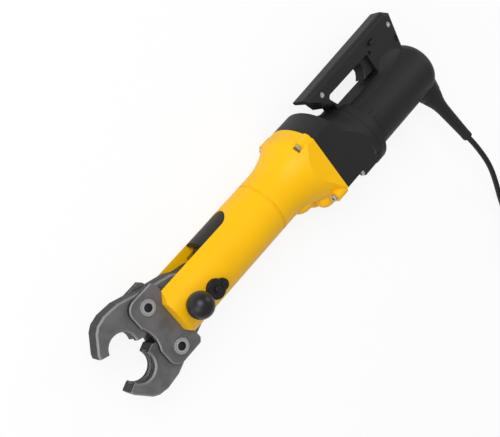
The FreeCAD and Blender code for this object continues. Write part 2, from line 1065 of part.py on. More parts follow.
# Jaws
def jaw(name, side):
    """One pressing jaw, drawn closed about its pivot and seated open."""
    part = body(name, -S.jaw_pivot_x, S.jaw_pivot_y * side)
    drawn = sketch_on(part, "XY")
    x0 = S.jaw_pivot_x
    y0 = S.jaw_pivot_y
    mouth_x = x0 - S.press_centre_x
    split = S.jaw_split_gap - y0
    outline = [
        (x0 - S.throat_x, split),
        (x0 - S.throat_back, S.throat_rise - y0),
        (x0 - S.belly_x, S.belly_y - y0),
        (x0 - S.hip_x, S.hip_y - y0),
        (x0 + S.seat_x, S.seat_y - y0),
        (x0 + S.cam_root_x, S.cam_root_y - y0),
        (x0 + S.cam_end_x, S.cam_end_y - y0),
        (x0 + S.cam_end_x, S.tail_corner_y - y0),
        (x0 + S.jaw_tail_x, S.jaw_tail_y - y0),
        (x0 + S.jaw_notch_x, S.jaw_notch_y - y0),
        (x0 + S.jaw_heel_x, S.jaw_heel_y - y0),
        (x0 - S.jaw_saddle_x, S.jaw_saddle_y - y0),
        (x0 - S.jaw_back_x, S.jaw_back_y - y0),
        (x0 - S.jaw_shoulder_x, S.jaw_shoulder_y - y0),
        (x0 - S.jaw_brow_x, S.jaw_brow_y - y0),
        (x0 - S.jaw_cheek_x, S.jaw_cheek_y - y0),
        (x0 - S.jaw_tip_x, S.jaw_tip_height - y0),
        (x0 - S.jaw_tip_x, split),
        (mouth_x - S.press_radius, split),
        (mouth_x, S.press_radius - y0),
        (mouth_x + S.press_radius, split),
    ]
    arcs = {5: S.cam_radius, 18: -S.press_radius, 19: -S.press_radius}
    if side < 0:
        outline = [(x, -y) for x, y in outline]
        arcs = {i: -radius for i, radius in arcs.items()}
    loop(drawn, outline, arcs)
    circle(drawn, S.bolt_radius + S.running_gap)
    plate = pad(part, drawn, S.jaw_half * 2, both=True)

    def on_the_back(edge, m):
        flat = abs(abs(m.z) - S.jaw_half.value) < 1e-3
        height = m.y * side + y0.value
        ahead = m.x - x0.value
        along = height > S.jaw_back_rise.value or ahead < -S.jaw_shoulder_x.value
        return flat and along and height > S.jaw_bevel.value and ahead < S.jaw_back_reach.value

    soften(part, "Chamfer", plate, S.jaw_bevel, on_the_back)
    ring = sketch_on(part, "XY")
    circle(ring, S.press_radius + S.press_groove_depth, mouth_x, -y0 * side)
    pocket(part, ring, S.press_groove, both=True)
    part.Placement.Rotation = FreeCAD.Rotation(FreeCAD.Vector(0, 0, 1), -S.closing_angle.value * side)


# Ram, rollers and screw
def ram_carriage():
    part = body("ram_carriage")
    block = sketch_on(part, "XY")
    half = S.roller_radius + S.roller_gap / 2 + S.clevis_boss
    rise = S.roller_radius + S.roller_gap / 2
    loop(block, [(S.roller_x, -half), (S.ram_front, -half), (S.ram_front, half), (S.roller_x, half)])
    pad(part, block, S.clevis_half * 2, both=True)
    for side in (1, -1):
        bosses = sketch_on(part, "XY")
        circle(bosses, S.clevis_boss, S.roller_x, rise * side)
        pad(part, bosses, S.clevis_half * 2, both=True)
    trunk = sketch_on(part, "YZ", S.ram_front)
    circle(trunk, S.ram_bore_radius - S.slide_gap)
    pad(part, trunk, S.ram_end - S.ram_front)
    fork = sketch_on(part, "XZ")
    loop(
        fork,
        [
            (S.roller_x - S.clevis_boss - S.overrun, -S.clevis_slot_half),
            (S.clevis_web, -S.clevis_slot_half),
            (S.clevis_web, S.clevis_slot_half),
            (S.roller_x - S.clevis_boss - S.overrun, S.clevis_slot_half),
        ],
    )
    pocket(part, fork, S.ram_bore_radius * 2, both=True)
    corners = sketch_on(part, "XY")
    box_loop(corners, S.clevis_web, S.ram_bore_radius - S.slide_gap, S.ram_front, S.case_half)
    turned(part, "Groove", corners)
    pins = sketch_on(part, "XY")
    for side in (1, -1):
        circle(pins, S.roller_pin_radius, S.roller_x, rise * side)
    pocket(part, pins, S.clevis_half * 2, both=True)
    bore = sketch_on(part, "XY")
    loop(
        bore,
        [
            (S.spindle_tip - S.spindle_tip_gap, 0),
            (S.ram_end + S.overrun, 0),
            (S.ram_end + S.overrun, S.nut_radius),
            (S.nut_start, S.nut_radius),
            (S.nut_start, S.spindle_radius + S.slide_gap),
            (S.spindle_tip - S.spindle_tip_gap, S.spindle_radius + S.slide_gap),
        ],
    )
    turned(part, "Groove", bore)

    rollers_rise = rise
    pins = body("roller_pins", S.roller_x)
    pins.AllowCompound = True
    drawn = sketch_on(pins, "XY")
    for side in (1, -1):
        circle(drawn, S.roller_pin_radius, S.nothing, rollers_rise * side)
    pad(pins, drawn, S.clevis_half * 2, both=True)
    for name, side in (("roller_upper", 1), ("roller_lower", -1)):
        roller = body(name, S.roller_x, rise * side)
        drawn = sketch_on(roller, "XZ")
        inner = S.roller_pin_radius + S.running_gap
        loop(
            drawn,
            [
                (inner, -S.jaw_half),
                (S.roller_radius - S.roller_bevel, -S.jaw_half),
                (S.roller_radius, -S.jaw_half + S.roller_bevel),
                (S.roller_radius, S.jaw_half - S.roller_bevel),
                (S.roller_radius - S.roller_bevel, S.jaw_half),
                (inner, S.jaw_half),
            ],
        )
        turned(roller, "Revolution", drawn, axis="Z")

    nut = body("spindle_nut", S.nut_start)
    for start, radius, length in (
        (S.nothing, S.nut_radius, S.ram_end - S.nut_start),
        (S.ram_end - S.nut_start, S.nut_flange_radius, S.nut_flange),
    ):
        drawn = sketch_on(nut, "YZ", start)
        circle(drawn, radius)
        circle(drawn, S.spindle_radius + S.running_gap * 2)
        pad(nut, drawn, length)


def spun(name, profile, x=0, y=0, z=0):
    part = body(name, x, y, z)
    drawn = sketch_on(part, "XY")
    loop(drawn, profile)
    turned(part, "Revolution", drawn)
    return part


def screw_drive():
    groove = S.spindle_pitch / 2
    profile = [(S.spindle_tip, 0), (S.spindle_end, 0), (S.spindle_end, S.spindle_shaft_radius)]
    profile += [
        (S.spindle_shoulder + S.spindle_shoulder_length, S.spindle_shaft_radius),
        (S.spindle_shoulder + S.spindle_shoulder_length, S.spindle_shoulder_radius),
        (S.spindle_shoulder, S.spindle_shoulder_radius),
        (S.spindle_shoulder, S.spindle_radius),
        (S.spindle_tip + groove, S.spindle_radius),
        (S.spindle_tip, S.spindle_radius - groove / 2),
    ]
    spun("drive_spindle", profile)
    thrust = S.spindle_shoulder + S.spindle_shoulder_length
    part = bar("thrust_bearing", thrust, S.bearing_web - thrust, S.ram_bore_radius,
               bore=S.spindle_hole_radius)
    groove_in(part, (S.bearing_web - thrust) / 2, S.ram_bore_radius)
    seat = S.bearing_web + S.bearing_web_thickness
    part = bar("spindle_bearing", seat, S.bearing_seat_depth, S.radial_bearing_radius,
               bore=S.spindle_shaft_radius + S.running_gap)
    spacer = S.clutch_x - seat - S.bearing_seat_depth
    part = bar("clutch_hub", S.clutch_x, S.clutch_hub_width, S.clutch_radius, bore=S.spindle_shaft_radius)
    sleeve = sketch_on(part, "YZ")
    circle(sleeve, S.spindle_shoulder_radius)
    circle(sleeve, S.spindle_shaft_radius)
    pad(part, sleeve, spacer, back=True)
    rings = body("friction_rings", S.clutch_x + S.clutch_hub_width)
    rings.AllowCompound = True
    for start in (S.nothing, S.friction_width + S.final_gear_width + S.running_gap * 2):
        drawn = sketch_on(rings, "YZ", start)
        circle(drawn, S.clutch_radius)
        circle(drawn, S.spindle_shaft_radius)
        pad(rings, drawn, S.friction_width)
    washers = S.clutch_x + S.clutch_hub_width + S.friction_width * 2 + S.final_gear_width + S.running_gap * 2
    spring = body("clutch_spring", washers)
    drawn = sketch_on(spring, "XY")
    step = S.spring_washer_width
    loop(
        drawn,
        [
            (0, S.spindle_shaft_radius),
            (step, S.clutch_nut_radius),
            (step * 2, S.spindle_shaft_radius),
            (step * 2 + S.washer_thickness, S.spindle_shaft_radius),
            (step + S.washer_thickness, S.clutch_nut_radius),
            (S.washer_thickness, S.spindle_shaft_radius),
        ],
    )
    turned(spring, "Revolution", drawn)
    nut = body("clutch_nut", washers + step * 2 + S.washer_thickness)
    drawn = sketch_on(nut, "YZ")
    hexagon(drawn, S.clutch_nut_radius, S.nothing, S.nothing)
    circle(drawn, S.spindle_shaft_radius)
    pad(nut, drawn, S.clutch_nut_width)


def groove_in(part, x, radius):
    """A shallow race round a bearing, at a distance along it."""
    drawn = sketch_on(part, "XY")
    half = S.race_width / 2
    loop(
        drawn,
        [(x - half, radius - S.race_depth), (x + half, radius - S.race_depth), (x + half, radius + S.overrun),
         (x - half, radius + S.overrun)],
    )
    turned(part, "Groove", drawn)


# Gears
def gear(name, teeth, x, width, y, z, bore, facing, gap_there):
    """A spur gear with straight-sided teeth. facing is the angle towards its mate, and
    gap_there is true where a gap, not a tooth, points that way."""
    part = body(name, x, y, z)
    pitch = S.tooth_module * teeth / 2
    root = pitch - S.tooth_module * S.root_share
    tip = pitch + S.tooth_module * S.tip_share
    disc = sketch_on(part, "YZ")
    circle(disc, root)
    pad(part, disc, width)
    tooth = sketch_on(part, "YZ")
    half_root = S.tooth_module * S.tooth_root_share
    half_tip = S.tooth_module * S.tooth_tip_share
    loop(
        tooth,
        [
            (root - S.tooth_module / 2, -half_root),
            (root, -half_root),
            (tip, -half_tip),
            (tip, half_tip),
            (root, half_root),
            (root - S.tooth_module / 2, half_root),
        ],
    )
    first = pad(part, tooth, width)
    ring = part.newObject("PartDesign::PolarPattern", name + "_teeth")
    ring.Originals = [first]
    ring.Axis = (origin_feature(part, "X_Axis"), [""])
    ring.Angle = 360
    ring.Occurrences = int(teeth.value)
    part.Tip = ring
    hole = sketch_on(part, "YZ")
    circle(hole, bore)
    pocket(part, hole, width, back=True)
    angle = facing + (180 / teeth.value if gap_there else 0)
    part.Placement.Rotation = FreeCAD.Rotation(FreeCAD.Vector(1, 0, 0), angle)


def gear_train():
    to_lay = math.degrees(math.atan2(S.lay_shaft_z.value, S.motor_drop.value - S.lay_shaft_y.value))
    to_screw = math.degrees(math.atan2(-S.lay_shaft_z.value, S.lay_shaft_y.value))
    final_x = S.clutch_x + S.clutch_hub_width + S.friction_width + S.running_gap
    shaft = S.lay_shaft_radius
    lay_y = -S.lay_shaft_y
    gear("motor_pinion", S.motor_teeth, S.lay_gear_x - S.running_gap, S.lay_gear_width, -S.motor_drop, 0,
         S.pinion_stub_radius, to_lay, False)
    gear("layshaft_gear", S.lay_gear_teeth, S.lay_gear_x, S.lay_gear_width, lay_y, S.lay_shaft_z,
         shaft, to_lay + 180, True)
    gear("layshaft_pinion", S.lay_pinion_teeth, final_x - S.overrun / 2, S.final_gear_width + S.overrun,
         lay_y, S.lay_shaft_z, shaft, to_screw, False)
    gear("spindle_gear", S.final_teeth, final_x, S.final_gear_width, 0, 0,
         S.spindle_shaft_radius + S.running_gap, to_screw + 180, True)
    bar("layshaft", S.seam, S.gear_cavity_end + S.lay_shaft_seat - S.seam, shaft, lay_y, S.lay_shaft_z)

    plate = body("gear_plate", S.seam)
    drawn = sketch_on(plate, "YZ")
    circle(drawn, S.gear_plate_radius)
    pad(plate, drawn, S.gear_plate)
    holes = sketch_on(plate, "YZ")
    circle(holes, S.gear_plate_bore)
    pocket(plate, holes, S.gear_plate, back=True)
    seat = sketch_on(plate, "YZ")
    circle(seat, shaft + S.running_gap, lay_y, S.lay_shaft_z)
    pocket(plate, seat, S.gear_plate, back=True)


def gear_case():
    part = body("gear_case")
    section = sketch_on(part, "YZ", S.seam)
    case_section(section)
    pad(part, section, S.case_end - S.seam)
    bell = sketch_on(part, "XY")
    axis = -S.motor_drop
    wide = S.bell_start_radius + S.bell_start_radius
    loop(
        bell,
        [
            (S.bell_start, axis + S.bell_start_radius),
            (S.bell_mid, axis + S.bell_mid_radius),
            (S.bell_end, axis + S.collar_radius),
            (S.case_end + S.overrun, axis + S.collar_radius),
            (S.case_end + S.overrun, axis + wide),
            (S.bell_start, axis + wide),
        ],
    )
    turned(part, "Groove", motor_line(part, bell), axis=None)
    feet = sketch_on(part, "YZ", S.foot_boss_start)
    for side in (1, -1):
        circle(feet, S.foot_boss_radius, -S.foot_boss_drop, S.foot_boss_side * side)
    pad(part, feet, S.foot_boss_end - S.foot_boss_start)
    neck = sketch_on(part, "YZ", S.case_end)
    circle(neck, S.neck_radius, axis, S.nothing)
    pad(part, neck, S.neck_end - S.case_end)
    groove = sketch_on(part, "YZ", S.neck_groove_start)
    circle(groove, S.neck_radius + S.overrun, axis, S.nothing)
    circle(groove, S.neck_radius - S.neck_groove_depth, axis, S.nothing)
    pocket(part, groove, S.neck_groove_width, back=True)
    for start, end, radius, y, z in (
        (S.seam, S.seam + S.gear_plate, S.gear_plate_radius, S.nothing, S.nothing),
        (S.seam, S.lay_gear_x - S.running_gap * 4, S.final_cavity_radius, S.nothing, S.nothing),
        (S.seam, S.gear_cavity_end, S.lay_cavity_radius, -S.lay_shaft_y, S.lay_shaft_z),
        (S.seam, S.gear_cavity_end, S.nut_cavity_radius, S.nothing, S.nothing),
        (S.lay_gear_x - S.overrun * 2, S.gear_cavity_end, S.pinion_cavity_radius, axis, S.nothing),
        (S.gear_cavity_end, S.gear_cavity_end + S.lay_shaft_seat, S.lay_shaft_radius + S.running_gap,
         -S.lay_shaft_y, S.lay_shaft_z),
        (S.gear_cavity_end, S.case_rear, S.motor_bearing_radius, axis, S.nothing),
        (S.case_rear, S.neck_end, S.neck_bore_radius, axis, S.nothing),
    ):
        cut = sketch_on(part, "YZ", start)
        circle(cut, radius, y, z)
        pocket(part, cut, end - start, back=True)
    threads = sketch_on(part, "YZ", S.seam)
    for y, z in boss_places():
        circle(threads, S.flange_screw_radius, y, z)
    pocket(part, threads, S.boss_front + S.flange_screw_length - S.seam, back=True)
    feet = sketch_on(part, "YZ", S.foot_boss_start - S.overrun)
    for side in (1, -1):
        circle(feet, S.flange_screw_radius, -S.foot_boss_drop, S.foot_boss_side * side)
    pocket(part, feet, S.foot_boss_end - S.foot_boss_start + S.overrun, back=True)
    heads = sketch_on(part, "YZ", S.bell_start)
    for side in (1, -1):
        circle(heads, S.flange_screw_head + S.slide_gap, -S.foot_boss_drop, S.foot_boss_side * side)
    pocket(part, heads, S.foot_boss_start - S.bell_start, back=True)


def motor_line(part, drawn):
    """Add the motor's axis to a sketch as a construction line to turn it about."""
    at = drawn.GeometryCount
    a = FreeCAD.Vector(S.seam.value, -S.motor_drop.value, 0)
    b = FreeCAD.Vector(S.case_end.value, -S.motor_drop.value, 0)
    drawn.addGeometry(Part.LineSegment(a, b), True)
    rules = []
    formulas = []
    pin_point(drawn, rules, formulas, at, 1, (S.seam, -S.motor_drop))
    pin_point(drawn, rules, formulas, at, 2, (S.case_end, -S.motor_drop))
    bind(drawn, rules, formulas)
    return drawn


# Motor unit: two half shells with the D handle, split on the middle plane
def housing_half(name, side):
    part = body(name, 0, -S.motor_drop)
    far = side < 0
    grip = sketch_on(part, "XY")
    loop(
        grip,
        [
            (S.nose_tip_x, S.nose_tip_y),
            (S.nose_under_x, S.nose_under_y),
            (S.nose_root_x, S.nose_root_y),
            (S.pillar_x, S.pillar_y),
            (S.housing_start, S.pillar_foot_y),
            (S.housing_start, S.grip_depth),
            (S.barrel_end, S.grip_depth),
            (S.grip_waist_x, S.grip_waist_y),
            (S.grip_back_x, S.grip_back_y),
            (S.grip_top_x, S.grip_top_y),
        ],
    )
    slab = pad(part, grip, S.grip_half, back=far)
    soften(
        part,
        "Fillet",
        slab,
        S.grip_round,
        lambda edge, m: abs(abs(m.z) - S.grip_half.value) < 1e-3
        and m.y > (S.pillar_foot_y + S.overrun).value
        and m.x > S.nose_root_x.value,
    )
    barrel = sketch_on(part, "XY")
    loop(
        barrel,
        [
            (S.housing_start, 0),
            (S.dome_end, 0),
            (S.dome_shoulder_x, S.dome_shoulder_radius),
            (S.barrel_end, S.barrel_radius),
            (S.barrel_start, S.barrel_radius),
            (S.housing_start + S.collar_length, S.collar_radius),
            (S.housing_start, S.collar_radius),
        ],
        {1: arc_radius(S.dome_shoulder_radius, S.dome_end - S.dome_shoulder_x), 2: S.dome_corner},
    )
    turned(part, "Revolution", barrel, angle=180.0, back=far)
    outlet = sketch_on(part, "XY")
    lean_to(outlet, S.relief_x, -S.relief_root, S.relief_lean)
    loop(
        outlet,
        [
            (0, -S.outlet_reach),
            (S.outlet_radius, -S.outlet_reach),
            (S.outlet_base_radius, S.outlet_rise),
            (0, S.outlet_rise),
        ],
    )
    turned(part, "Revolution", outlet, axis="sketch", angle=180.0, back=not far)

    window = sketch_on(part, "XY")
    loop(
        window,
        [
            (S.window_front, S.window_top - S.window_corner),
            (S.window_foot, S.window_bottom),
            (S.window_rear, S.window_bottom),
            (S.window_rear, S.window_top),
            (S.window_front + S.window_corner, S.window_top),
        ],
        {4: S.window_round},
    )
    pocket(part, window, S.grip_half + S.overrun, back=not far)
    inside = sketch_on(part, "XY")
    neck = S.neck_radius + S.slide_gap
    lip = S.neck_radius - S.neck_groove_depth + S.slide_gap
    first = S.neck_groove_start + S.slide_gap
    last = S.neck_groove_start + S.neck_groove_width - S.slide_gap
    behind = S.neck_end + S.slide_gap * 2
    shield = S.cavity_start
    loop(
        inside,
        [
            (S.housing_start - S.overrun, 0),
            (S.rear_bearing_x + S.motor_bearing_width, 0),
            (S.rear_bearing_x + S.motor_bearing_width, S.motor_bearing_radius),
            (S.rear_bearing_x, S.motor_bearing_radius),
            (S.rear_bearing_x, S.barrel_radius - S.barrel_wall * 2),
            (S.rear_bearing_x - S.barrel_wall, S.barrel_radius - S.barrel_wall),
            (shield + S.shield_width, S.barrel_radius - S.barrel_wall),
            (shield, S.barrel_radius - S.barrel_wall),
            (shield, S.shield_lip),
            (behind, S.shield_lip),
            (behind, neck),
            (last, neck),
            (last, lip),
            (first, lip),
            (first, neck),
            (S.housing_start - S.overrun, neck),
        ],
    )
    turned(part, "Groove", inside)
    box = sketch_on(part, "XY")
    low = S.pocket_bottom
    loop(
        box,
        [
            (S.window_rear - S.overrun * 2, low),
            (S.pocket_end, low),
            (S.pocket_end, S.trigger_top + S.overrun),
            (S.trigger_front_x, S.trigger_top + S.overrun),
            (S.trigger_front_x, S.window_top - S.overrun),
            (S.window_rear - S.overrun * 2, S.window_top - S.overrun),
        ],
    )
    pocket(part, box, S.trigger_half + S.slide_gap, back=not far)
    wires = sketch_on(part, "XY")
    loop(
        wires,
        [
            (S.switch_x + S.wire_gap, S.barrel_radius - S.barrel_wall * 2),
            (S.pocket_end - S.wire_gap, S.barrel_radius - S.barrel_wall * 2),
            (S.pocket_end - S.wire_gap, low + S.overrun),
            (S.switch_x + S.wire_gap, low + S.overrun),
        ],
    )
    pocket(part, wires, S.wire_gap, back=not far)
    slots = sketch_on(part, "XY")
    gap = S.slide_gap
    loop(
        slots,
        [
            (S.reverser_x - S.reverser_length / 2 - gap, S.reverser_y - S.reverser_height / 2 - gap),
            (S.reverser_x + S.reverser_length / 2 + gap, S.reverser_y - S.reverser_height / 2 - gap),
            (S.reverser_x + S.reverser_length / 2 + gap, S.reverser_y + S.reverser_height / 2 + gap),
            (S.reverser_x - S.reverser_length / 2 - gap, S.reverser_y + S.reverser_height / 2 + gap),
        ],
    )
    circle(slots, S.trigger_pivot_radius, S.trigger_pivot_x, S.trigger_pivot_y)
    pocket(part, slots, S.grip_half + S.overrun, back=not far)
    holes = sketch_on(part, "XY")
    for x, y in screw_places():
        circle(holes, S.housing_screw_radius, x, y)
    pocket(part, holes, S.grip_half + S.overrun, back=not far)
    heads = sketch_on(part, "XY", (S.grip_half - S.housing_screw_recess) * side)
    for x, y in screw_places():
        circle(heads, S.housing_screw_head + S.slide_gap, x, y)
    pocket(part, heads, S.barrel_radius, back=not far)
    bore = sketch_on(part, "XY")
    lean_to(bore, S.relief_x, -S.relief_root, S.relief_lean)
    loop(
        bore,
        [
            (0, -S.outlet_reach - S.overrun),
            (S.relief_neck, -S.outlet_reach - S.overrun),
            (S.relief_neck, S.relief_seat - S.outlet_reach),
            (S.relief_flange, S.relief_seat - S.outlet_reach),
            (S.relief_flange, S.outlet_rise + S.overrun),
            (0, S.outlet_rise + S.overrun),
        ],
    )
    turned(part, "Groove", bore, axis="sketch")


def lean_to(drawn, x, y, lean):
    """Move a sketch to a point of its plane and lean it, so its own V axis is the line of the lead."""
    turn = FreeCAD.Rotation(FreeCAD.Vector(0, 0, 1), lean.value)
    drawn.AttachmentOffset = FreeCAD.Placement(FreeCAD.Vector(number(x), number(y), 0), turn)
    drawn.setExpression("AttachmentOffset.Base.x", text(x))
    drawn.setExpression("AttachmentOffset.Base.y", text(y))


def screw_places():
    return [
        (S.front_screw_x, S.front_screw_y),
        (S.rear_screw_x, S.rear_screw_y),
        (S.base_screw_x, S.base_screw_y),
    ]


def housing_screws():
    part = body("housing_screws", 0, -S.motor_drop)
    part.AllowCompound = True
    seat = S.grip_half - S.housing_screw_recess
    for radius, height, length in (
        (S.housing_screw_radius, -seat, seat * 2),
        (S.housing_screw_head, seat, S.housing_screw_recess * S.socket_share),
    ):
        drawn = sketch_on(part, "XY", height)
        for x, y in screw_places():
            circle(drawn, radius, x, y)
        pad(part, drawn, length)
    sockets = sketch_on(part, "XY", seat + S.housing_screw_recess * S.socket_share)
    for x, y in screw_places():
        hexagon(sockets, S.housing_screw_head * S.socket_share, x, y)
    pocket(part, sockets, S.housing_screw_recess * S.socket_share / 2)


def motor():
    drop = -S.motor_drop
    pinion_x = S.lay_gear_x - S.running_gap
    spun(
        "armature_shaft",
        [
            (pinion_x, 0),
            (S.shaft_end, 0),
            (S.shaft_end, S.shaft_radius),
            (pinion_x + S.lay_gear_width + S.slide_gap, S.shaft_radius),
            (pinion_x + S.lay_gear_width + S.slide_gap, S.pinion_stub_radius),
            (pinion_x, S.pinion_stub_radius),
        ],
        0,
        drop,
    )
    core = bar("armature_core", S.armature_x, S.armature_length, S.armature_radius, drop, bore=S.shaft_radius)
    slot = sketch_on(core, "YZ")
    loop(
        slot,
        [
            (S.armature_radius - S.armature_slot_depth, -S.armature_slot / 2),
            (S.armature_radius + S.overrun, -S.armature_slot / 2),
            (S.armature_radius + S.overrun, S.armature_slot / 2),
            (S.armature_radius - S.armature_slot_depth, S.armature_slot / 2),
        ],
    )
    first = pocket(core, slot, S.armature_length, back=True)
    ring = core.newObject("PartDesign::PolarPattern", "armature_slots")
    ring.Originals = [first]
    ring.Axis = (origin_feature(core, "X_Axis"), [""])
    ring.Angle = 360
    ring.Occurrences = int(S.armature_slots.value)
    core.Tip = ring
    bar("commutator", S.commutator_x, S.commutator_length, S.commutator_radius, drop, bore=S.shaft_radius)

    fan = bar("motor_fan", S.fan_x, S.fan_plate, S.fan_radius, drop, bore=S.shaft_radius)
    blade = sketch_on(fan, "YZ")
    loop(
        blade,
        [
            (S.fan_hub, -S.fan_plate / 2),
            (S.fan_radius - S.fan_plate, -S.fan_plate / 2),
            (S.fan_radius - S.fan_plate, S.fan_plate / 2),
            (S.fan_hub, S.fan_plate / 2),
        ],
    )
    first = pad(fan, blade, S.fan_width)
    ring = fan.newObject("PartDesign::PolarPattern", "fan_blades")
    ring.Originals = [first]
    ring.Axis = (origin_feature(fan, "X_Axis"), [""])
    ring.Angle = 360
    ring.Occurrences = int(S.fan_blades.value)
    fan.Tip = ring

    shell = S.barrel_radius - S.barrel_wall
    bar("stator_core", S.armature_x, S.armature_length, shell, drop, bore=S.armature_radius + S.stator_gap)
    coils = body("field_coils", 0, drop)
    coils.AllowCompound = True
    for start in (S.armature_x - S.coil_width, S.armature_x + S.armature_length):
        drawn = sketch_on(coils, "YZ", start)
        circle(drawn, shell - S.stator_gap)
        circle(drawn, S.armature_radius + S.stator_gap * 2)
        pad(coils, drawn, S.coil_width)
    bearings = body("motor_bearings", 0, drop)
    bearings.AllowCompound = True
    for start in (S.cavity_start, S.rear_bearing_x):
        drawn = sketch_on(bearings, "YZ", start)
        circle(drawn, S.motor_bearing_radius)
        circle(drawn, S.shaft_radius + S.running_gap)
        pad(bearings, drawn, S.motor_bearing_width)
    shield = body("bearing_shield", S.cavity_start, drop)
    drawn = sketch_on(shield, "YZ")
    circle(drawn, shell)
    circle(drawn, S.motor_bearing_radius)
    pad(shield, drawn, S.shield_width)
    neck = bar("pinion_bearing", S.gear_cavity_end, S.case_rear - S.gear_cavity_end,
               S.motor_bearing_radius, drop, bore=S.shaft_radius + S.running_gap)
    groove_in(neck, (S.case_rear - S.gear_cavity_end) / 2, S.motor_bearing_radius)

    start = S.commutator_x + (S.commutator_length - S.brush_width) / 2
    inner = S.commutator_radius + S.slide_gap
    for name, half, low, high in (
        ("brush_holders", S.brush_width / 2 + S.brush_wall, inner + S.overrun, shell),
        ("carbon_brushes", S.brush_width / 2, inner, inner + S.brush_length),
    ):
        part = body(name, start, drop)
        part.AllowCompound = True
        for side in (1, -1):
            drawn = sketch_on(part, "XY", low * side)
            box_loop(drawn, S.brush_width / 2 - half, -half, S.brush_width / 2 + half, half)
            if name == "brush_holders":
                box_loop(drawn, S.nothing, -S.brush_width / 2, S.brush_width, S.brush_width / 2)
            pad(part, drawn, high - low, back=side < 0)
    trim_round(holders_of("brush_holders"), shell)


def box_loop(drawn, x0, y0, x1, y1):
    loop(drawn, [(x0, y0), (x1, y0), (x1, y1), (x0, y1)])


def holders_of(name):
    return [made for made in finished if made.Label == name][0]


def trim_round(part, radius):
    """Cut a sub-part back to a round bar's surface about its own X axis."""
    drawn = sketch_on(part, "YZ", -S.barrel_radius)
    circle(drawn, radius)
    circle(drawn, radius + S.barrel_radius)
    pocket(part, drawn, S.barrel_radius * 2, back=True)


def trigger():
    part = body("trigger", S.trigger_pivot_x, S.trigger_pivot_y - S.motor_drop)
    drawn = sketch_on(part, "XY")
    x0 = S.trigger_pivot_x
    y0 = S.trigger_pivot_y
    loop(
        drawn,
        [
            (S.trigger_toe_x - x0, S.trigger_toe_y - y0),
            (S.trigger_back_x - x0, S.trigger_toe_y - y0),
            (S.trigger_back_x - x0, S.trigger_top - y0),
            (S.trigger_front_x + S.overrun - x0, S.trigger_top - y0),
            (S.trigger_waist_x - x0, S.trigger_waist_y - y0),
        ],
        {4: -S.trigger_curve},
    )
    slab = pad(part, drawn, S.trigger_half * 2, both=True)
    soften(
        part,
        "Fillet",
        slab,
        S.trigger_round,
        lambda edge, m: abs(abs(m.z) - S.trigger_half.value) < 1e-3 and m.x < -S.trigger_pivot_x.value
        + S.trigger_waist_x.value and m.y > (S.trigger_toe_y - S.trigger_pivot_y + S.overrun).value,
    )
    hole = sketch_on(part, "XY")
    circle(hole, S.trigger_pivot_radius + S.running_gap)
    pocket(part, hole, S.grip_half * 2, both=True)
    pin = body("trigger_pin", S.trigger_pivot_x, S.trigger_pivot_y - S.motor_drop)
    drawn = sketch_on(pin, "XY")
    circle(drawn, S.trigger_pivot_radius)
    pad(pin, drawn, (S.grip_half - S.overrun) * 2, both=True)
    plunger = sketch_on(part, "YZ", S.trigger_back_x - x0)
    circle(plunger, S.plunger_radius, S.plunger_y - y0, S.nothing)
    pad(part, plunger, S.plunger_length)
    switch = body("switch_module", S.switch_x, S.switch_bottom - S.motor_drop)
    drawn = sketch_on(switch, "XY")
    box_loop(drawn, S.nothing, S.nothing, S.switch_length, S.switch_height)
    pad(switch, drawn, S.switch_half * 2, both=True)
    reverser = body("direction_switch", S.reverser_x, S.reverser_y - S.motor_drop)
    drawn = sketch_on(reverser, "XY")
    reach = S.reverser_length / 2
    rise = S.reverser_height / 2
    box_loop(drawn, -reach, -rise, reach, rise)
    pad(reverser, drawn, S.reverser_half * 2, both=True)


def strain_relief():
    part = body("strain_relief", S.relief_x, -S.relief_root - S.motor_drop)
    drawn = sketch_on(part, "XY")
    root = -S.outlet_reach
    bore = S.cord_diameter / 2
    tip = root - S.relief_length
    profile = [
        (bore, tip),
        (S.relief_tip_radius, tip),
        (S.relief_root_radius, root - S.relief_shoulder),
        (S.relief_root_radius, root),
        (S.relief_neck, root),
        (S.relief_neck, root + S.relief_seat),
        (S.relief_flange, root + S.relief_seat),
        (S.relief_flange, root + S.relief_seat + S.relief_flange_width),
        (bore, root + S.relief_seat + S.relief_flange_width),
    ]
    loop(drawn, profile)
    turned(part, "Revolution", drawn, axis="Y")
    part.Placement.Rotation = FreeCAD.Rotation(FreeCAD.Vector(0, 0, 1), S.relief_lean.value)


# Mains lead
def leaning(distance):
    """A point of the lead's line inside the sleeve, measured from the sleeve's seat."""
    turn = math.radians(S.relief_lean.value)
    x = S.relief_x.value + distance * math.sin(turn)
    y = -S.relief_root.value - S.motor_drop.value - distance * math.cos(turn)
    return FreeCAD.Vector(x, y, 0)


def arc_between(a, apex, b):
    """The arc that runs from a to b and is tangent to the lines to their apex."""
    middle = (a + b) / 2
    share = (a - middle).Length / (a - apex).Length
    return Part.Arc(a, middle + (apex - middle) * (share / (1 + share)), b).toShape()


def run_edges(points):
    """Straight runs with a tangent arc at every corner. Prints the arcs' radii."""
    edges = []
    radii = []
    at = points[0]
    for i in range(1, len(points) - 1):
        before = points[i - 1] - points[i]
        after = points[i + 1] - points[i]
        half_turn = (math.pi - before.getAngle(after)) / 2
        reach = S.bend_share.value * min(before.Length, after.Length)
        start = points[i] + before.normalize() * reach
        end = points[i] + after.normalize() * reach
        edges.append(Part.makeLine(at, start))
        edges.append(arc_between(start, points[i], end))
        radii.append(round(reach / math.tan(half_turn), 1))
        at = end
    edges.append(Part.makeLine(at, points[-1]))
    print("lead radii", radii)
    return edges


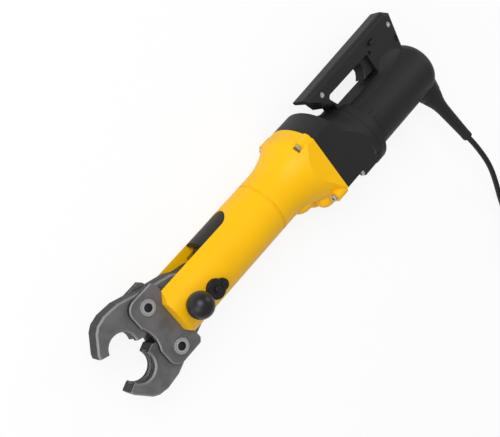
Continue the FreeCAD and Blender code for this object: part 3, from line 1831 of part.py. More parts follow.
def biarc(a, way_a, b, way_b):
    """Two arcs from a to b that leave along way_a and arrive along way_b."""
    span = b - a
    ways = way_a + way_b
    square = 2 * (1 - way_a.dot(way_b))
    cross = span.dot(ways)
    size = (math.sqrt(cross * cross + square * span.dot(span)) - cross) / square
    apex_a = a + way_a * size
    apex_b = b - way_b * size
    joint = (apex_a + apex_b) / 2
    return [arc_between(a, apex_a, joint), arc_between(joint, apex_b, b)]


def tube(edges, radius):
    path = Part.Wire(edges)
    start = edges[0].valueAt(edges[0].FirstParameter)
    way = edges[0].tangentAt(edges[0].FirstParameter)
    ring = Part.Wire([Part.makeCircle(radius, start, way)])
    return path.makePipeShell([ring], True, False)


def wound_edges(at):
    """Half turns that wind in on one layer and out on the next, a pitch apart, and climb a
    layer in the half turn between them."""
    pitch = S.coil_pitch.value
    edges = []
    way = FreeCAD.Vector(0, -1, 0)
    layers = int(S.coil_layers.value)
    turns = int(S.coil_half_turns.value)
    for layer in range(layers):
        inward = layer % 2 == 0
        count = turns - (1 if layer == layers - 1 else 0)
        for i in range(count):
            step = i if inward else turns - 1 - i
            radius = S.coil_radius.value - pitch / 2 * step
            after = at + FreeCAD.Vector(-way.y * radius * 2, 0, 0)
            edges += biarc(at, way, after, -way)
            at = after
            way = -way
        if layer < layers - 1:
            radius = S.coil_radius.value + (-pitch / 2 * turns if inward else pitch / 2)
            after = at + FreeCAD.Vector(-way.y * radius * 2, 0, pitch)
            edges += biarc(at, way, after, -way)
            at = after
            way = -way
    return edges, at, way


def least_gap(edges):
    """The least distance between the coil's centre line and itself, a quarter turn or more apart."""
    per_edge = 12
    apart = 14
    points = []
    for edge in edges:
        first = edge.FirstParameter
        step = (edge.LastParameter - first) / per_edge
        for i in range(per_edge):
            points.append(edge.valueAt(first + step * i))
    least = None
    for i, a in enumerate(points):
        for b in points[i + apart:]:
            gap = (a - b).Length
            if least is None or gap < least:
                least = gap
    return least


def lead():
    radius = S.cord_diameter.value / 2
    floor = -S.case_half.value
    base = floor + S.tie_thickness.value + S.tie_gap.value + radius
    tip = leaning((S.outlet_reach + S.relief_length + S.lead_exit).value)
    start = FreeCAD.Vector(S.coil_left.value, -S.coil_drop.value, base)
    reach = (start - tip).Length
    points = [leaning((S.outlet_reach + S.relief_length * S.lead_start_share).value), tip]
    for across, down, fall in LEAD_SHARES:
        points.append(tip + FreeCAD.Vector(reach * across, -reach * down, -reach * fall))
    low = floor + radius + S.lead_lift.value
    points.append(FreeCAD.Vector(start.x, start.y + S.lead_straight.value * 2, low))
    points.append(FreeCAD.Vector(start.x, start.y + S.lead_straight.value, base))
    points.append(start)
    shape_part("power_cord", tube(run_edges(points), radius))

    wound, end, way = wound_edges(start)
    print("coil gap", round(least_gap(wound) - radius * 2, 2))
    print("coil length", round(sum(edge.Length for edge in wound)))
    level = floor + S.plug_radius.value
    tail = [
        end,
        end + way * S.tail_straight.value,
        FreeCAD.Vector(end.x, end.y - (S.tail_straight + S.tail_fall).value, level),
        FreeCAD.Vector(end.x, end.y - (S.tail_straight + S.tail_fall + S.tail_end).value, level),
    ]
    coil = tube(wound + run_edges(tail), radius)
    shape_part("cord_coil", coil)
    plug(tail[-1])
    tie(start, end)


def plug(at):
    profile = [
        (S.cord_diameter / 2, S.nothing),
        (S.plug_sleeve, S.nothing),
        (S.plug_sleeve_base, -S.plug_sleeve_length),
        (S.plug_waist, -S.plug_sleeve_length),
        (S.plug_radius, -S.plug_sleeve_length - S.plug_taper),
        (S.plug_radius, -S.plug_sleeve_length - S.plug_taper - S.plug_length),
        (0, -S.plug_sleeve_length - S.plug_taper - S.plug_length),
        (0, -S.tail_end / 2),
        (S.cord_diameter / 2, -S.tail_end / 2),
    ]
    part = body("power_plug")
    drawn = sketch_on(part, "XY")
    loop(drawn, profile)
    turned(part, "Revolution", drawn, axis="Y")
    lay_down(part, at)
    pins = body("plug_pins")
    pins.AllowCompound = True
    face = S.plug_sleeve_length + S.plug_taper + S.plug_length
    drawn = sketch_on(pins, "XZ", face)
    for side in (1, -1):
        circle(drawn, S.plug_pin_radius, S.plug_pin_spacing / 2 * side, S.nothing)
    pad(pins, drawn, S.plug_pin_length)
    lay_down(pins, at)


def lay_down(part, at):
    """Seat a body with its Y axis on the lead's line where the tail meets the plug."""
    along = at.y + S.tail_end.value / 2
    part.Placement.Base = FreeCAD.Vector(at.x - rest_x.value, along, at.z + S.case_half.value)
    for axis in ("x", "y", "z"):
        part.setExpression("Placement.Base." + axis, None)


def tie(start, end):
    """A strap round the bundle on the side away from the lead."""
    pitch = S.coil_pitch.value
    radius = S.cord_diameter.value / 2
    thick = S.tie_thickness.value
    right = start.x + S.coil_radius.value * 2 + radius + S.tie_gap.value
    left = right - pitch * S.coil_half_turns.value / 2 - pitch - S.cord_diameter.value - S.tie_gap.value * 2
    low = start.z - radius - S.tie_gap.value
    high = end.z + radius + S.tie_gap.value
    outer = strap(left - thick, right + thick, low - thick, high + thick, start.y, S.tie_corner.value + thick)
    inner = strap(left, right, low, high, start.y, S.tie_corner.value)
    shape_part("cord_tie", outer.cut(inner))


def strap(left, right, low, high, y, corner):
    width = S.tie_width.value
    block = Part.makeBox(right - left, width, high - low, FreeCAD.Vector(left, y - width / 2, low))
    along = [edge for edge in block.Edges if abs(edge.tangentAt(edge.FirstParameter).y) > 0.9]
    return block.makeFillet(corner, along)


# Build, check and export
def build():
    head_housing()
    slot_covers()
    screws("flange_screws", S.boss_front, boss_places(), S.flange_screw_radius, S.flange_screw_length,
           S.flange_screw_head, S.flange_screw_head_height)
    retaining_pin()
    ball_knob()
    latch()
    jaw_plate("jaw_plate_near", 1)
    jaw_plate("jaw_plate_far", -1)
    jaw_bolts()
    jaw_spring()
    jaw("upper_jaw", 1)
    jaw("lower_jaw", -1)
    ram_carriage()
    screw_drive()
    gear_train()
    gear_case()
    feet = [(-S.foot_boss_drop, S.foot_boss_side), (-S.foot_boss_drop, -S.foot_boss_side)]
    screws("case_screws", S.foot_boss_start, feet, S.flange_screw_radius, S.foot_screw_length,
           S.flange_screw_head, S.flange_screw_head_height)
    housing_half("housing_half_near", 1)
    housing_half("housing_half_far", -1)
    housing_screws()
    motor()
    trigger()
    strain_relief()
    lead()


LEAD_SHARES = [(0.03, 0.207, 0.036), (0.06, 0.416, 0.126), (0.066, 0.632, 0.2155)]

build()
doc.recompute()
failed = []
for thing in doc.Objects:
    if "Invalid" in thing.State or "Error" in thing.State:
        failed.append(thing.Name)
os.makedirs("parts", exist_ok=True)
for thing in finished:
    shape = thing.Shape
    if shape.isNull() or not shape.isValid() or not shape.Solids:
        failed.append(thing.Label)
        continue
    shape.exportStep("parts/%s.step" % thing.Label)
if failed:
    raise RuntimeError("not built: " + ", ".join(failed))
print(len(finished), "sub-parts")
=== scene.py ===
import math

import bmesh
import bpy
from mathutils import Matrix, Quaternion, Vector


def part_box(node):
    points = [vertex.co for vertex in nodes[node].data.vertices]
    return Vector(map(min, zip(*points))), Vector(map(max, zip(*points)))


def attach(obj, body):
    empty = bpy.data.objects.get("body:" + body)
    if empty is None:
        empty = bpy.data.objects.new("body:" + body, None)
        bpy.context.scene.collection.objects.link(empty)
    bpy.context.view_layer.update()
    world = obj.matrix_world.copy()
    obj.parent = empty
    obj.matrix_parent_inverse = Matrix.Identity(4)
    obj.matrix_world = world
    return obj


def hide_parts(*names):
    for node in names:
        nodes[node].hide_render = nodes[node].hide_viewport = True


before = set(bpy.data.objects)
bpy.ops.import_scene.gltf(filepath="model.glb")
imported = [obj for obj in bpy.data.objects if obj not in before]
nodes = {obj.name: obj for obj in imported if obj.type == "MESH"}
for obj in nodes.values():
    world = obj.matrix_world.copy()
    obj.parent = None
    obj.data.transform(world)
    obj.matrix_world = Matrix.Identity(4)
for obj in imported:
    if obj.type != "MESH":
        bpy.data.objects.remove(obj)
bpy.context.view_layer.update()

millimetre = 0.001
shelf = {"restX": 231.0, "caseHalf": 42.5}  # where the tool's own axes sit in the part's frame, in mm


def atTool(x, y, z):  # a point on the tool's own axes, in mm, as a point of the frame, in metres
    return Vector(((x - shelf["restX"]), y, z + shelf["caseHalf"])) * millimetre


# ---- camera, floor and lamps
cameraSizes = {
    "place": (-0.53637, 0.40552, 0.95549),
    "turn": (0.891806, -0.104566, -0.262194, -0.353555),
    "lens": 73.38,
    "sensor": 36.0,
}
floorSizes = {"radius": 4.0, "corners": 64, "colour": (0.93, 0.93, 0.935), "roughness": 0.9, "whiteShare": 0.86}
lampSizes = {
    # name: (place, aim, width, watts)
    "keyLamp": ((-0.55, 1.35, 1.75), (0.0, 0.0, 0.03), 1.5, 26.0),
    "frontLamp": ((-1.7, 0.35, 0.95), (-0.2, 0.0, 0.03), 1.4, 10.0),
    "rimLamp": ((1.6, 0.2, 1.2), (0.05, 0.0, 0.03), 1.0, 6.0),
}
worldLight = 0.43


def addCamera(sizes):
    data = bpy.data.cameras.new("photoCamera")
    data.lens = sizes["lens"]
    data.sensor_width = sizes["sensor"]
    camera = bpy.data.objects.new("photoCamera", data)
    camera.location = sizes["place"]
    camera.rotation_mode = "QUATERNION"
    camera.rotation_quaternion = Quaternion(sizes["turn"])
    bpy.context.scene.collection.objects.link(camera)
    bpy.context.scene.camera = camera


def addLamp(name, place, aim, width, watts):
    data = bpy.data.lights.new(name, "AREA")
    data.shape = "DISK"
    data.size = width
    data.energy = watts
    lamp = bpy.data.objects.new(name, data)
    lamp.location = place
    lamp.rotation_mode = "QUATERNION"
    lamp.rotation_quaternion = (Vector(aim) - Vector(place)).to_track_quat("-Z", "Y")
    bpy.context.scene.collection.objects.link(lamp)


def lightWorld(strength):
    world = bpy.data.worlds.new("studio")
    world.use_nodes = True
    tree = world.node_tree
    back = tree.nodes["Background"]
    back.inputs["Color"].default_value = (1, 1, 1, 1)
    rays = tree.nodes.new("ShaderNodeLightPath")
    pick = tree.nodes.new("ShaderNodeMapRange")  # the camera sees plain white, the object a softer light
    pick.inputs["To Min"].default_value = strength
    pick.inputs["To Max"].default_value = 1.0
    tree.links.new(rays.outputs["Is Camera Ray"], pick.inputs["Value"])
    tree.links.new(pick.outputs[0], back.inputs["Strength"])
    bpy.context.scene.world = world


scene = bpy.context.scene
scene.view_settings.view_transform = "Standard"
addCamera(cameraSizes)
for lampName, lampPlan in lampSizes.items():
    addLamp(lampName, *lampPlan)
lightWorld(worldLight)
print("camera and lamps are up")


# ---- finishes
class Wire:  # a shader socket that takes part in sums
    def __init__(self, finish, socket):
        self.finish = finish
        self.socket = socket

    def sum(self, operation, a, b):
        return self.finish.maths(operation, a, b)

    def __add__(self, other):
        return self.sum("ADD", self, other)

    def __radd__(self, other):
        return self.sum("ADD", other, self)

    def __sub__(self, other):
        return self.sum("SUBTRACT", self, other)

    def __rsub__(self, other):
        return self.sum("SUBTRACT", other, self)

    def __mul__(self, other):
        return self.sum("MULTIPLY", self, other)

    def over(self, limit):
        return self.sum("GREATER_THAN", self, limit)

    def under(self, limit):
        return self.sum("LESS_THAN", self, limit)

    def clamped(self, low=0.0, high=1.0):
        return self.sum("MINIMUM", self.sum("MAXIMUM", self, low), high)


class Finish:  # one material and the nodes that make it
    bevelSamples = 5
    edgeGain = 6.0

    def __init__(self, name, **plain):
        self.material = bpy.data.materials.new(name)
        self.material.use_nodes = True
        self.tree = self.material.node_tree
        self.shader = self.tree.nodes["Principled BSDF"]
        for words, value in plain.items():
            self.set(words, value)
        self.place = self.node("ShaderNodeTexCoord", output="Object")

    def set(self, words, value):
        socket = self.shader.inputs[words.replace("_", " ")]
        if isinstance(value, Wire):
            self.tree.links.new(value.socket, socket)
        elif isinstance(value, tuple) and len(value) == 3 and socket.type == "RGBA":
            socket.default_value = (*value, 1)
        else:
            socket.default_value = value

    def node(self, kind, settings=None, inputs=(), output=0):
        made = self.tree.nodes.new(kind)
        for key, value in (settings or {}).items():
            if key == "stops":
                self.setStops(made.color_ramp, value)
            else:
                setattr(made, key, value)
        for socket, value in inputs.items() if isinstance(inputs, dict) else enumerate(inputs):
            if isinstance(value, Wire):
                self.tree.links.new(value.socket, made.inputs[socket])
            else:
                made.inputs[socket].default_value = value
        return Wire(self, made.outputs[output])

    def setStops(self, ramp, stops):
        while len(ramp.elements) < len(stops):
            ramp.elements.new(0.5)
        for element, (position, shade) in zip(ramp.elements, stops):
            element.position = position
            element.color = (shade, shade, shade, 1)

    def maths(self, operation, *values):
        return self.node("ShaderNodeMath", {"operation": operation}, values)

    def vector(self, operation, *values, output=0):
        return self.node("ShaderNodeVectorMath", {"operation": operation}, values, output)

    def noise(self, scale, detail=2.0, roughness=0.5, place=None):
        return self.node(
            "ShaderNodeTexNoise",
            inputs={"Vector": place or self.place, "Scale": scale, "Detail": detail, "Roughness": roughness},
        )

    def cells(self, scale):
        return self.node("ShaderNodeTexVoronoi", inputs={"Vector": self.place, "Scale": scale})

    def ramp(self, value, *stops):
        return self.node("ShaderNodeValToRGB", {"stops": stops}, [value])

    def stretched(self, x, y, z):
        return self.node("ShaderNodeMapping", inputs={"Vector": self.place, "Scale": (x, y, z)})

    def along(self, axis):
        return self.node("ShaderNodeSeparateXYZ", inputs=[self.place], output=axis)

    def blend(self, share, a, b):
        colours = [c if isinstance(c, Wire) else (*c, 1) for c in (a, b)]
        return self.node(
            "ShaderNodeMix", {"data_type": "RGBA"}, {0: share, 6: colours[0], 7: colours[1]}, output=2
        )

    def rounded(self, radius):
        return self.node("ShaderNodeBevel", {"samples": self.bevelSamples}, {"Radius": radius}, output="Normal")

    def edges(self, radius):  # 0 on a face, rising to 1 on its sharp edges
        plain = self.node("ShaderNodeNewGeometry", output="Normal")
        alike = self.vector("DOT_PRODUCT", self.rounded(radius), plain, output="Value")
        return ((1 - alike) * self.edgeGain).clamped()

    def bump(self, height, strength, distance, normal=None):
        inputs = {"Height": height, "Strength": strength, "Distance": distance}
        if normal is not None:
            inputs["Normal"] = normal
        return self.node("ShaderNodeBump", inputs=inputs, output="Normal")


fineRelief = 0.0001
paint = {
    "bright": (0.93, 0.505, 0.002),
    "deep": (0.86, 0.440, 0.002),
    "clouds": 16.0,
    "cloudStops": ((0.35, 0.0), (0.75, 0.45)),
    "specks": 420.0,
    "peel": 900.0,
    "peelDepth": 0.10,
    "edge": 0.0006,
    "roughness": 0.36,
    "spread": 0.10,
}
plastic = {
    "dark": (0.0075, 0.0075, 0.0078),
    "pale": (0.0125, 0.0125, 0.0130),
    "clouds": 30.0,
    "grain": 2600.0,
    "relief": 0.00006,
    "seamHalf": 0.00022,
    "seamDepth": 3.0,
    "edge": 0.0007,
    "roughness": 0.46,
    "spread": 0.12,
}
lacquer = {
    "dark": (0.006, 0.006, 0.0065),
    "pale": (0.010, 0.010, 0.0105),
    "clouds": 60.0,
    "waves": 700.0,
    "waveDepth": 0.05,
    "roughness": 0.30,
    "spread": 0.08,
}
rubber = {
    "dark": (0.008, 0.008, 0.0085),
    "pale": (0.015, 0.015, 0.0155),
    "clouds": 140.0,
    "grain": 1500.0,
    "grainDepth": 0.14,
    "edge": 0.0006,
    "roughness": 0.52,
    "spread": 0.16,
}
forging = {
    "dark": (0.115, 0.112, 0.115),
    "pale": (0.205, 0.202, 0.205),
    "rimScaleAndShadeShare": 0.32,  # what is left of the faces' tone on the rims: forged scale plus painted shade on the sides
    # tone of worn edges and of the painted edge and chamfer highlights
    "wearAndHighlight": (0.50, 0.50, 0.51),
    "ground": (0.47, 0.47, 0.48),
    "clouds": 46.0,
    "cloudStops": ((0.3, 0.0), (0.72, 1.0)),
    "cloudRelief": 0.8,
    "grit": 850.0,
    "gritDepth": 0.16,
    "relief": 0.0002,
    "edge": 0.0007,
    "wornEdge": 0.0009,
    "rimTilt": 0.6,  # below this a face counts as a rim, darkened for forged scale and as painted shade, and up to the next as a chamfer, lightened as a painted highlight
    "chamferTilt": 0.9,
    "wornShare": 0.45,
    "wornGrit": 0.6,
    "chamferHighlightShare": 0.25,
    "roughness": 0.47,
    "spread": 0.16,
    "polish": 0.12,
}
bolts = {
    # dark centre tone; on the jaw bolts it is painted shade for the sockets
    "blacked": (0.048, 0.049, 0.058),
    "specks": 500.0,
    "speckDepth": 0.12,
    "edge": 0.0004,
    "roughness": 0.34,
    "spread": 0.14,
    "jawBolts": [atTool(-33.0, 27.5, 0.0), atTool(-33.0, -27.5, 0.0)],
    "socketShadeRadius": 0.0047,
    "baseScrew": [atTool(404.5, 22.0, 0.0)],
    "baseReach": 0.0070,
}
steel = {
    "bare": (0.60, 0.59, 0.57),
    "blacked": (0.060, 0.060, 0.064),
    "ground": (0.46, 0.46, 0.47),
    "hard": (0.50, 0.50, 0.51),
    "bronze": (0.50, 0.31, 0.12),
    "copper": (0.62, 0.28, 0.14),
    "gain": 1.16,
    "specks": 300.0,
    "lathe": 90.0,
    "squeeze": 30.0,
    "depth": 0.10,
    "edge": 0.0004,
    "spread": 0.14,
}
lamination = {
    "sheet": (0.22, 0.21, 0.20),
    "line": (0.05, 0.05, 0.05),
    "sheets": 1600.0,
    "lineShare": 0.22,
    "depth": 0.3,
    "roughness": 0.42,
    "spread": 0.3,
}
winding = {
    "dark": (0.34, 0.12, 0.045),
    "pale": (0.62, 0.26, 0.10),
    "strands": 240.0,
    "squeeze": 6.0,
    "depth": 0.5,
    "relief": 0.0004,
    "roughness": 0.30,
    "spread": 0.2,
}
tape = {
    "dark": (0.020, 0.020, 0.021),
    "pale": (0.045, 0.045, 0.047),
    "weft": {"Scale": 420.0, "Distortion": 1.5},
    "loops": 1300.0,
    "depth": 0.5,
    "relief": 0.0003,
    "roughness": 0.85,
}


def yellowPaint(look):
    made = Finish("yellowPaint", Specular_IOR_Level=0.2)
    cloud = made.noise(look["clouds"], 3.0)
    speck = made.noise(look["specks"], 2.0)
    made.set("Base Color", made.blend(made.ramp(cloud, *look["cloudStops"]), look["bright"], look["deep"]))
    made.set("Roughness", look["roughness"] + speck * look["spread"])
    peel = made.noise(look["peel"], 1.0)
    made.set("Normal", made.bump(peel, look["peelDepth"], fineRelief, made.rounded(look["edge"])))
    return made.material


def blackPlastic(name, look, grain=0.30, gloss=0.0, seam=False, shade=1.0):
    made = Finish(name, Specular_IOR_Level=0.36)
    cloud = made.noise(look["clouds"], 3.0)
    speck = made.cells(look["grain"])
    made.set("Roughness", look["roughness"] - gloss + cloud * look["spread"])
    height = speck
    # shade below 1 darkens the tone: painted shade
    tone = cloud * shade
    if seam:  # a fine dark line where the two halves of the housing meet
        depth = made.along("Z") - shelf["caseHalf"] * millimetre
        near = made.maths("ABSOLUTE", depth).under(look["seamHalf"])
        tone = (cloud - near).clamped()
        height = speck - near * look["seamDepth"]
    made.set("Base Color", made.blend(tone, look["dark"], look["pale"]))
    made.set("Normal", made.bump(height, grain, look["relief"], made.rounded(look["edge"])))
    return made.material


def glossBlack(look):
    made = Finish("glossBlack", Specular_IOR_Level=0.42)
    cloud = made.noise(look["clouds"], 2.0)
    made.set("Base Color", made.blend(cloud, look["dark"], look["pale"]))
    made.set("Roughness", look["roughness"] + cloud * look["spread"])
    made.set("Normal", made.bump(made.noise(look["waves"], 1.0), look["waveDepth"], fineRelief))
    return made.material


def softRubber(look):
    made = Finish("softRubber", Specular_IOR_Level=0.35)
    cloud = made.noise(look["clouds"], 3.0)
    made.set("Base Color", made.blend(cloud, look["dark"], look["pale"]))
    made.set("Roughness", look["roughness"] + cloud * look["spread"])
    grain = made.noise(look["grain"], 2.0)
    made.set("Normal", made.bump(grain, look["grainDepth"], fineRelief, made.rounded(look["edge"])))
    return made.material


def boltSteel(name, look, centres, radius, outside, metal=0.6):  # dark near the centres, bare away from them; in the jaw bolts the dark disc is painted shade for the hex sockets
    made = Finish(name, Metallic=metal)
    apart = None
    for centre in centres:
        at = made.vector("SUBTRACT", made.place, tuple(centre))
        level = made.vector("MULTIPLY", at, (1.0, 1.0, 0.0))
        away = made.vector("LENGTH", level, output="Value")
        apart = away if apart is None else made.maths("MINIMUM", apart, away)
    speck = made.noise(look["specks"], 3.0)
    made.set("Base Color", made.blend(apart.over(radius), look["blacked"], outside))
    made.set("Roughness", look["roughness"] + speck * look["spread"])
    made.set("Normal", made.bump(speck, look["speckDepth"], fineRelief, made.rounded(look["edge"])))
    return made.material


def phosphated(look):
    made = Finish("phosphatedSteel", Metallic=0.55)
    cloud = made.noise(look["clouds"], 4.0, 0.6)
    grit = made.noise(look["grit"], 3.0, 0.6)
    # lighter along sharp edges: part edge wear, part painted highlight
    wearAndHighlight = made.edges(look["wornEdge"])
    facing = made.node("ShaderNodeTexCoord", output="Normal")
    tilt = made.maths("ABSOLUTE", made.node("ShaderNodeSeparateXYZ", inputs=[facing], output="Z"))
    # sides darker by how they face: part forged scale, part painted shade; chamfers lighter: painted highlight
    flat = tilt.over(look["rimTilt"])
    chamferHighlight = flat - tilt.over(look["chamferTilt"])
    ground = made.blend(made.ramp(cloud, *look["cloudStops"]), look["dark"], look["pale"])
    rimScaleAndShade = tuple(shade * look["rimScaleAndShadeShare"] for shade in look["dark"])
    bright = wearAndHighlight * (look["wornShare"] + grit * look["wornGrit"]) + chamferHighlight * look["chamferHighlightShare"]
    made.set("Base Color", made.blend(bright.clamped(), made.blend(flat, rimScaleAndShade, ground), look["wearAndHighlight"]))
    made.set("Roughness", look["roughness"] + grit * look["spread"] - wearAndHighlight * look["polish"])
    height = grit + cloud * look["cloudRelief"]
    made.set("Normal", made.bump(height, look["gritDepth"], look["relief"], made.rounded(look["edge"])))
    return made.material


def bareSteel(name, look, tone, roughness, turned=None):  # turned names the axis that the lathe marks run round
    made = Finish(name, Metallic=1.0)
    speck = made.noise(look["specks"], 3.0)
    height = speck
    if turned is not None:
        squeezed = [1.0, 1.0, 1.0]
        squeezed[turned] = look["squeeze"]
        height = made.noise(look["lathe"], 3.0, place=made.stretched(*squeezed))
    pale = tuple(min(1.0, shade * look["gain"]) for shade in tone)
    made.set("Base Color", made.blend(speck, tone, pale))
    made.set("Roughness", roughness + height * look["spread"])
    made.set("Normal", made.bump(height, look["depth"], fineRelief, made.rounded(look["edge"])))
    return made.material


def laminated(look):  # a stack of thin iron sheets along the motor axis
    made = Finish("laminatedIron", Metallic=0.7)
    line = made.maths("FRACT", made.along("X") * look["sheets"]).under(look["lineShare"])
    made.set("Base Color", made.blend(line, look["sheet"], look["line"]))
    made.set("Roughness", look["roughness"] + line * look["spread"])
    made.set("Normal", made.bump(1 - line, look["depth"], fineRelief))
    return made.material


def enamelledWire(look):
    made = Finish("enamelledWire", Metallic=0.55, Coat_Weight=0.5)
    strands = made.noise(look["strands"], 2.0, place=made.stretched(look["squeeze"], 1.0, 1.0))
    made.set("Base Color", made.blend(strands, look["dark"], look["pale"]))
    made.set("Roughness", look["roughness"] + strands * look["spread"])
    made.set("Normal", made.bump(strands, look["depth"], look["relief"]))
    return made.material


def wovenTape(look):
    made = Finish("wovenTape")
    weft = made.node("ShaderNodeTexWave", {"bands_direction": "Y"}, {"Vector": made.place, **look["weft"]}, 1)
    loops = made.cells(look["loops"])
    made.set("Base Color", made.blend(loops, look["dark"], look["pale"]))
    made.set("Roughness", look["roughness"])
    made.set("Normal", made.bump(weft + loops, look["depth"], look["relief"]))
    return made.material


finishes = {
    "yellow": yellowPaint(paint),
    "case": blackPlastic("casePlastic", plastic),
    "shell": blackPlastic("shellPlastic", plastic, seam=True),
    "trim": blackPlastic("trimPlastic", plastic, grain=0.2, gloss=0.08),
    "carbon": blackPlastic("carbon", plastic, grain=0.6),
    # near-black plastic painted as the shade inside the vent slots
    "hollow": blackPlastic("paintedVentShade", plastic, grain=0.0, shade=0.15),
    "gloss": glossBlack(lacquer),
    "rubber": softRubber(rubber),
    "jaw": phosphated(forging),
    "bolt": boltSteel("boltSteel", bolts, bolts["jawBolts"], bolts["socketShadeRadius"], forging["ground"]),
    "screw": boltSteel("caseScrewSteel", bolts, bolts["baseScrew"], bolts["baseReach"], steel["bare"], 0.9),
    "bright": bareSteel("brightSteel", steel, steel["bare"], 0.26),
    "ring": bareSteel("groundRing", steel, forging["ground"], 0.40),
    "dark": bareSteel("blackedSteel", steel, steel["blacked"], 0.38),
    "ground": bareSteel("groundSteel", steel, steel["ground"], 0.24, turned=0),
    "pin": bareSteel("hardPin", steel, steel["hard"], 0.22, turned=2),
    "bronze": bareSteel("bronze", steel, steel["bronze"], 0.32, turned=0),
    "copperBar": bareSteel("copperBar", steel, steel["copper"], 0.30, turned=0),
    "iron": laminated(lamination),
    "copper": enamelledWire(winding),
    "tape": wovenTape(tape),
}
finishOf = {
    "yellow": ["head_housing"],
    "case": ["gear_case", "slot_covers"],
    "shell": ["housing_half_near", "housing_half_far"],
    "trim": ["latch_base", "latch_button", "trigger", "direction_switch", "switch_module", "motor_fan",
             "brush_holders", "bearing_shield", "power_plug"],
    "gloss": ["ball_knob"],
    "rubber": ["strain_relief"],
    "jaw": ["upper_jaw", "lower_jaw", "jaw_plate_near", "jaw_plate_far"],
    "bolt": ["jaw_bolts"],
    "dark": ["trigger_pin", "ram_carriage", "roller_upper", "roller_lower", "friction_rings", "latch_screw",
             "clutch_nut"],
    "ring": ["jaw_bolt_rings"],
    "screw": ["housing_screws"],
    "bright": ["flange_screws", "case_screws", "plug_pins", "jaw_spring", "clutch_spring"],
    "pin": ["retaining_pin", "roller_pins", "spring_pin"],
    "ground": ["drive_spindle", "spindle_gear", "layshaft", "layshaft_gear", "layshaft_pinion", "gear_plate",
               "armature_shaft", "motor_pinion", "motor_bearings", "thrust_bearing", "spindle_bearing",
               "pinion_bearing", "clutch_hub"],
    "bronze": ["spindle_nut"],
    "carbon": ["carbon_brushes"],
    "copperBar": ["commutator"],
    "iron": ["stator_core", "armature_core"],
    "copper": ["field_coils"],
    "tape": ["cord_tie"],
}
for finishName, members in finishOf.items():
    for member in members:
        holder = nodes[member]
        if holder.material_slots:
            holder.material_slots[0].material = finishes[finishName]
        else:
            holder.data.materials.append(finishes[finishName])
print("finishes are on")


# ---- floor
def addFloor(sizes):
    made = bpy.data.meshes.new("floor")
    turns = [2 * math.pi * i / sizes["corners"] for i in range(sizes["corners"])]
    ring = [(math.cos(turn) * sizes["radius"], math.sin(turn) * sizes["radius"], 0) for turn in turns]
    made.from_pydata(ring, [], [list(range(len(ring)))])
    floor = bpy.data.objects.new("floor", made)
    bpy.context.scene.collection.objects.link(floor)
    surface = Finish("paleFloor", Roughness=sizes["roughness"])
    surface.set("Base Color", sizes["colour"])
    rays = surface.node("ShaderNodeLightPath", output="Is Camera Ray")
    plain = surface.node("ShaderNodeEmission", inputs={"Color": (1, 1, 1, 1), "Strength": 1.0})
    body = Wire(surface, surface.shader.outputs["BSDF"])
    mixed = surface.node("ShaderNodeMixShader", inputs=[rays * sizes["whiteShare"], body, plain])
    surface.tree.links.new(mixed.socket, surface.tree.nodes["Material Output"].inputs["Surface"])
    made.materials.append(surface.material)


addFloor(floorSizes)


# ---- how the pieces that are made here join the part
def asPiece(name, mesh, finish, body):
    mesh.materials.clear()
    mesh.materials.append(finish)
    piece = bpy.data.objects.new(name, mesh)
    bpy.context.scene.collection.objects.link(piece)
    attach(piece, body)
    return piece


def meshOf(name, form):
    bmesh.ops.recalc_face_normals(form, faces=form.faces)
    mesh = bpy.data.meshes.new(name)
    form.to_mesh(mesh)
    form.free()
    return mesh


def turnedMesh(name, profile, place, steps=72):  # profile: (distance, radius) along place's Z axis, ends closed
    form = bmesh.new()
    turns = [2 * math.pi * i / steps for i in range(steps)]
    rings = []
    for distance, radius in profile:
        if radius == 0:
            rings.append([form.verts.new((0, 0, distance))])
            continue
        rings.append([form.verts.new((radius * math.cos(t), radius * math.sin(t), distance)) for t in turns])
    for a, b in zip(rings, rings[1:]):
        for i in range(steps):
            j = (i + 1) % steps
            if len(a) == 1:
                form.faces.new((a[0], b[j], b[i]))
            elif len(b) == 1:
                form.faces.new((a[i], a[j], b[0]))
            else:
                form.faces.new((a[i], a[j], b[j], b[i]))
    for ring, flip in ((rings[0], True), (rings[-1], False)):
        if len(ring) > 1:
            form.faces.new(list(reversed(ring)) if flip else ring)
    form.transform(place)
    mesh = meshOf(name, form)
    for face in mesh.polygons:
        face.use_smooth = len(face.vertices) == 4
    return mesh


# ---- sleeve round the lead
sleeve = {
    "root": (409.0, -52.0, 0.0),
    "lean": 9.5,  # degrees from the handle's line
    # (distance from the root, radius), in mm
    "profile": [
        (10.4, 10.8), (14.0, 13.3), (17.5, 13.2), (22.0, 11.9), (28.0, 9.9), (34.0, 8.6), (42.0, 7.8),
        (55.0, 7.3), (72.0, 6.7), (86.5, 6.2), (87.5, 6.35), (92.6, 6.3), (93.6, 5.9), (94.0, 5.0),
    ],
}


def addSleeve(sizes):
    lean = math.radians(sizes["lean"])
    way = Vector((math.sin(lean), -math.cos(lean), 0))
    place = Matrix.Translation(atTool(*sizes["root"])) @ way.to_track_quat("Z", "Y").to_matrix().to_4x4()
    profile = [(d * millimetre, r * millimetre) for d, r in sizes["profile"]]
    mesh = turnedMesh("leadSleeve", profile, place)
    piece = asPiece("leadSleeve", mesh, finishes["rubber"], "motor_unit")
    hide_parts("strain_relief")


addSleeve(sleeve)
print("sleeve is on")


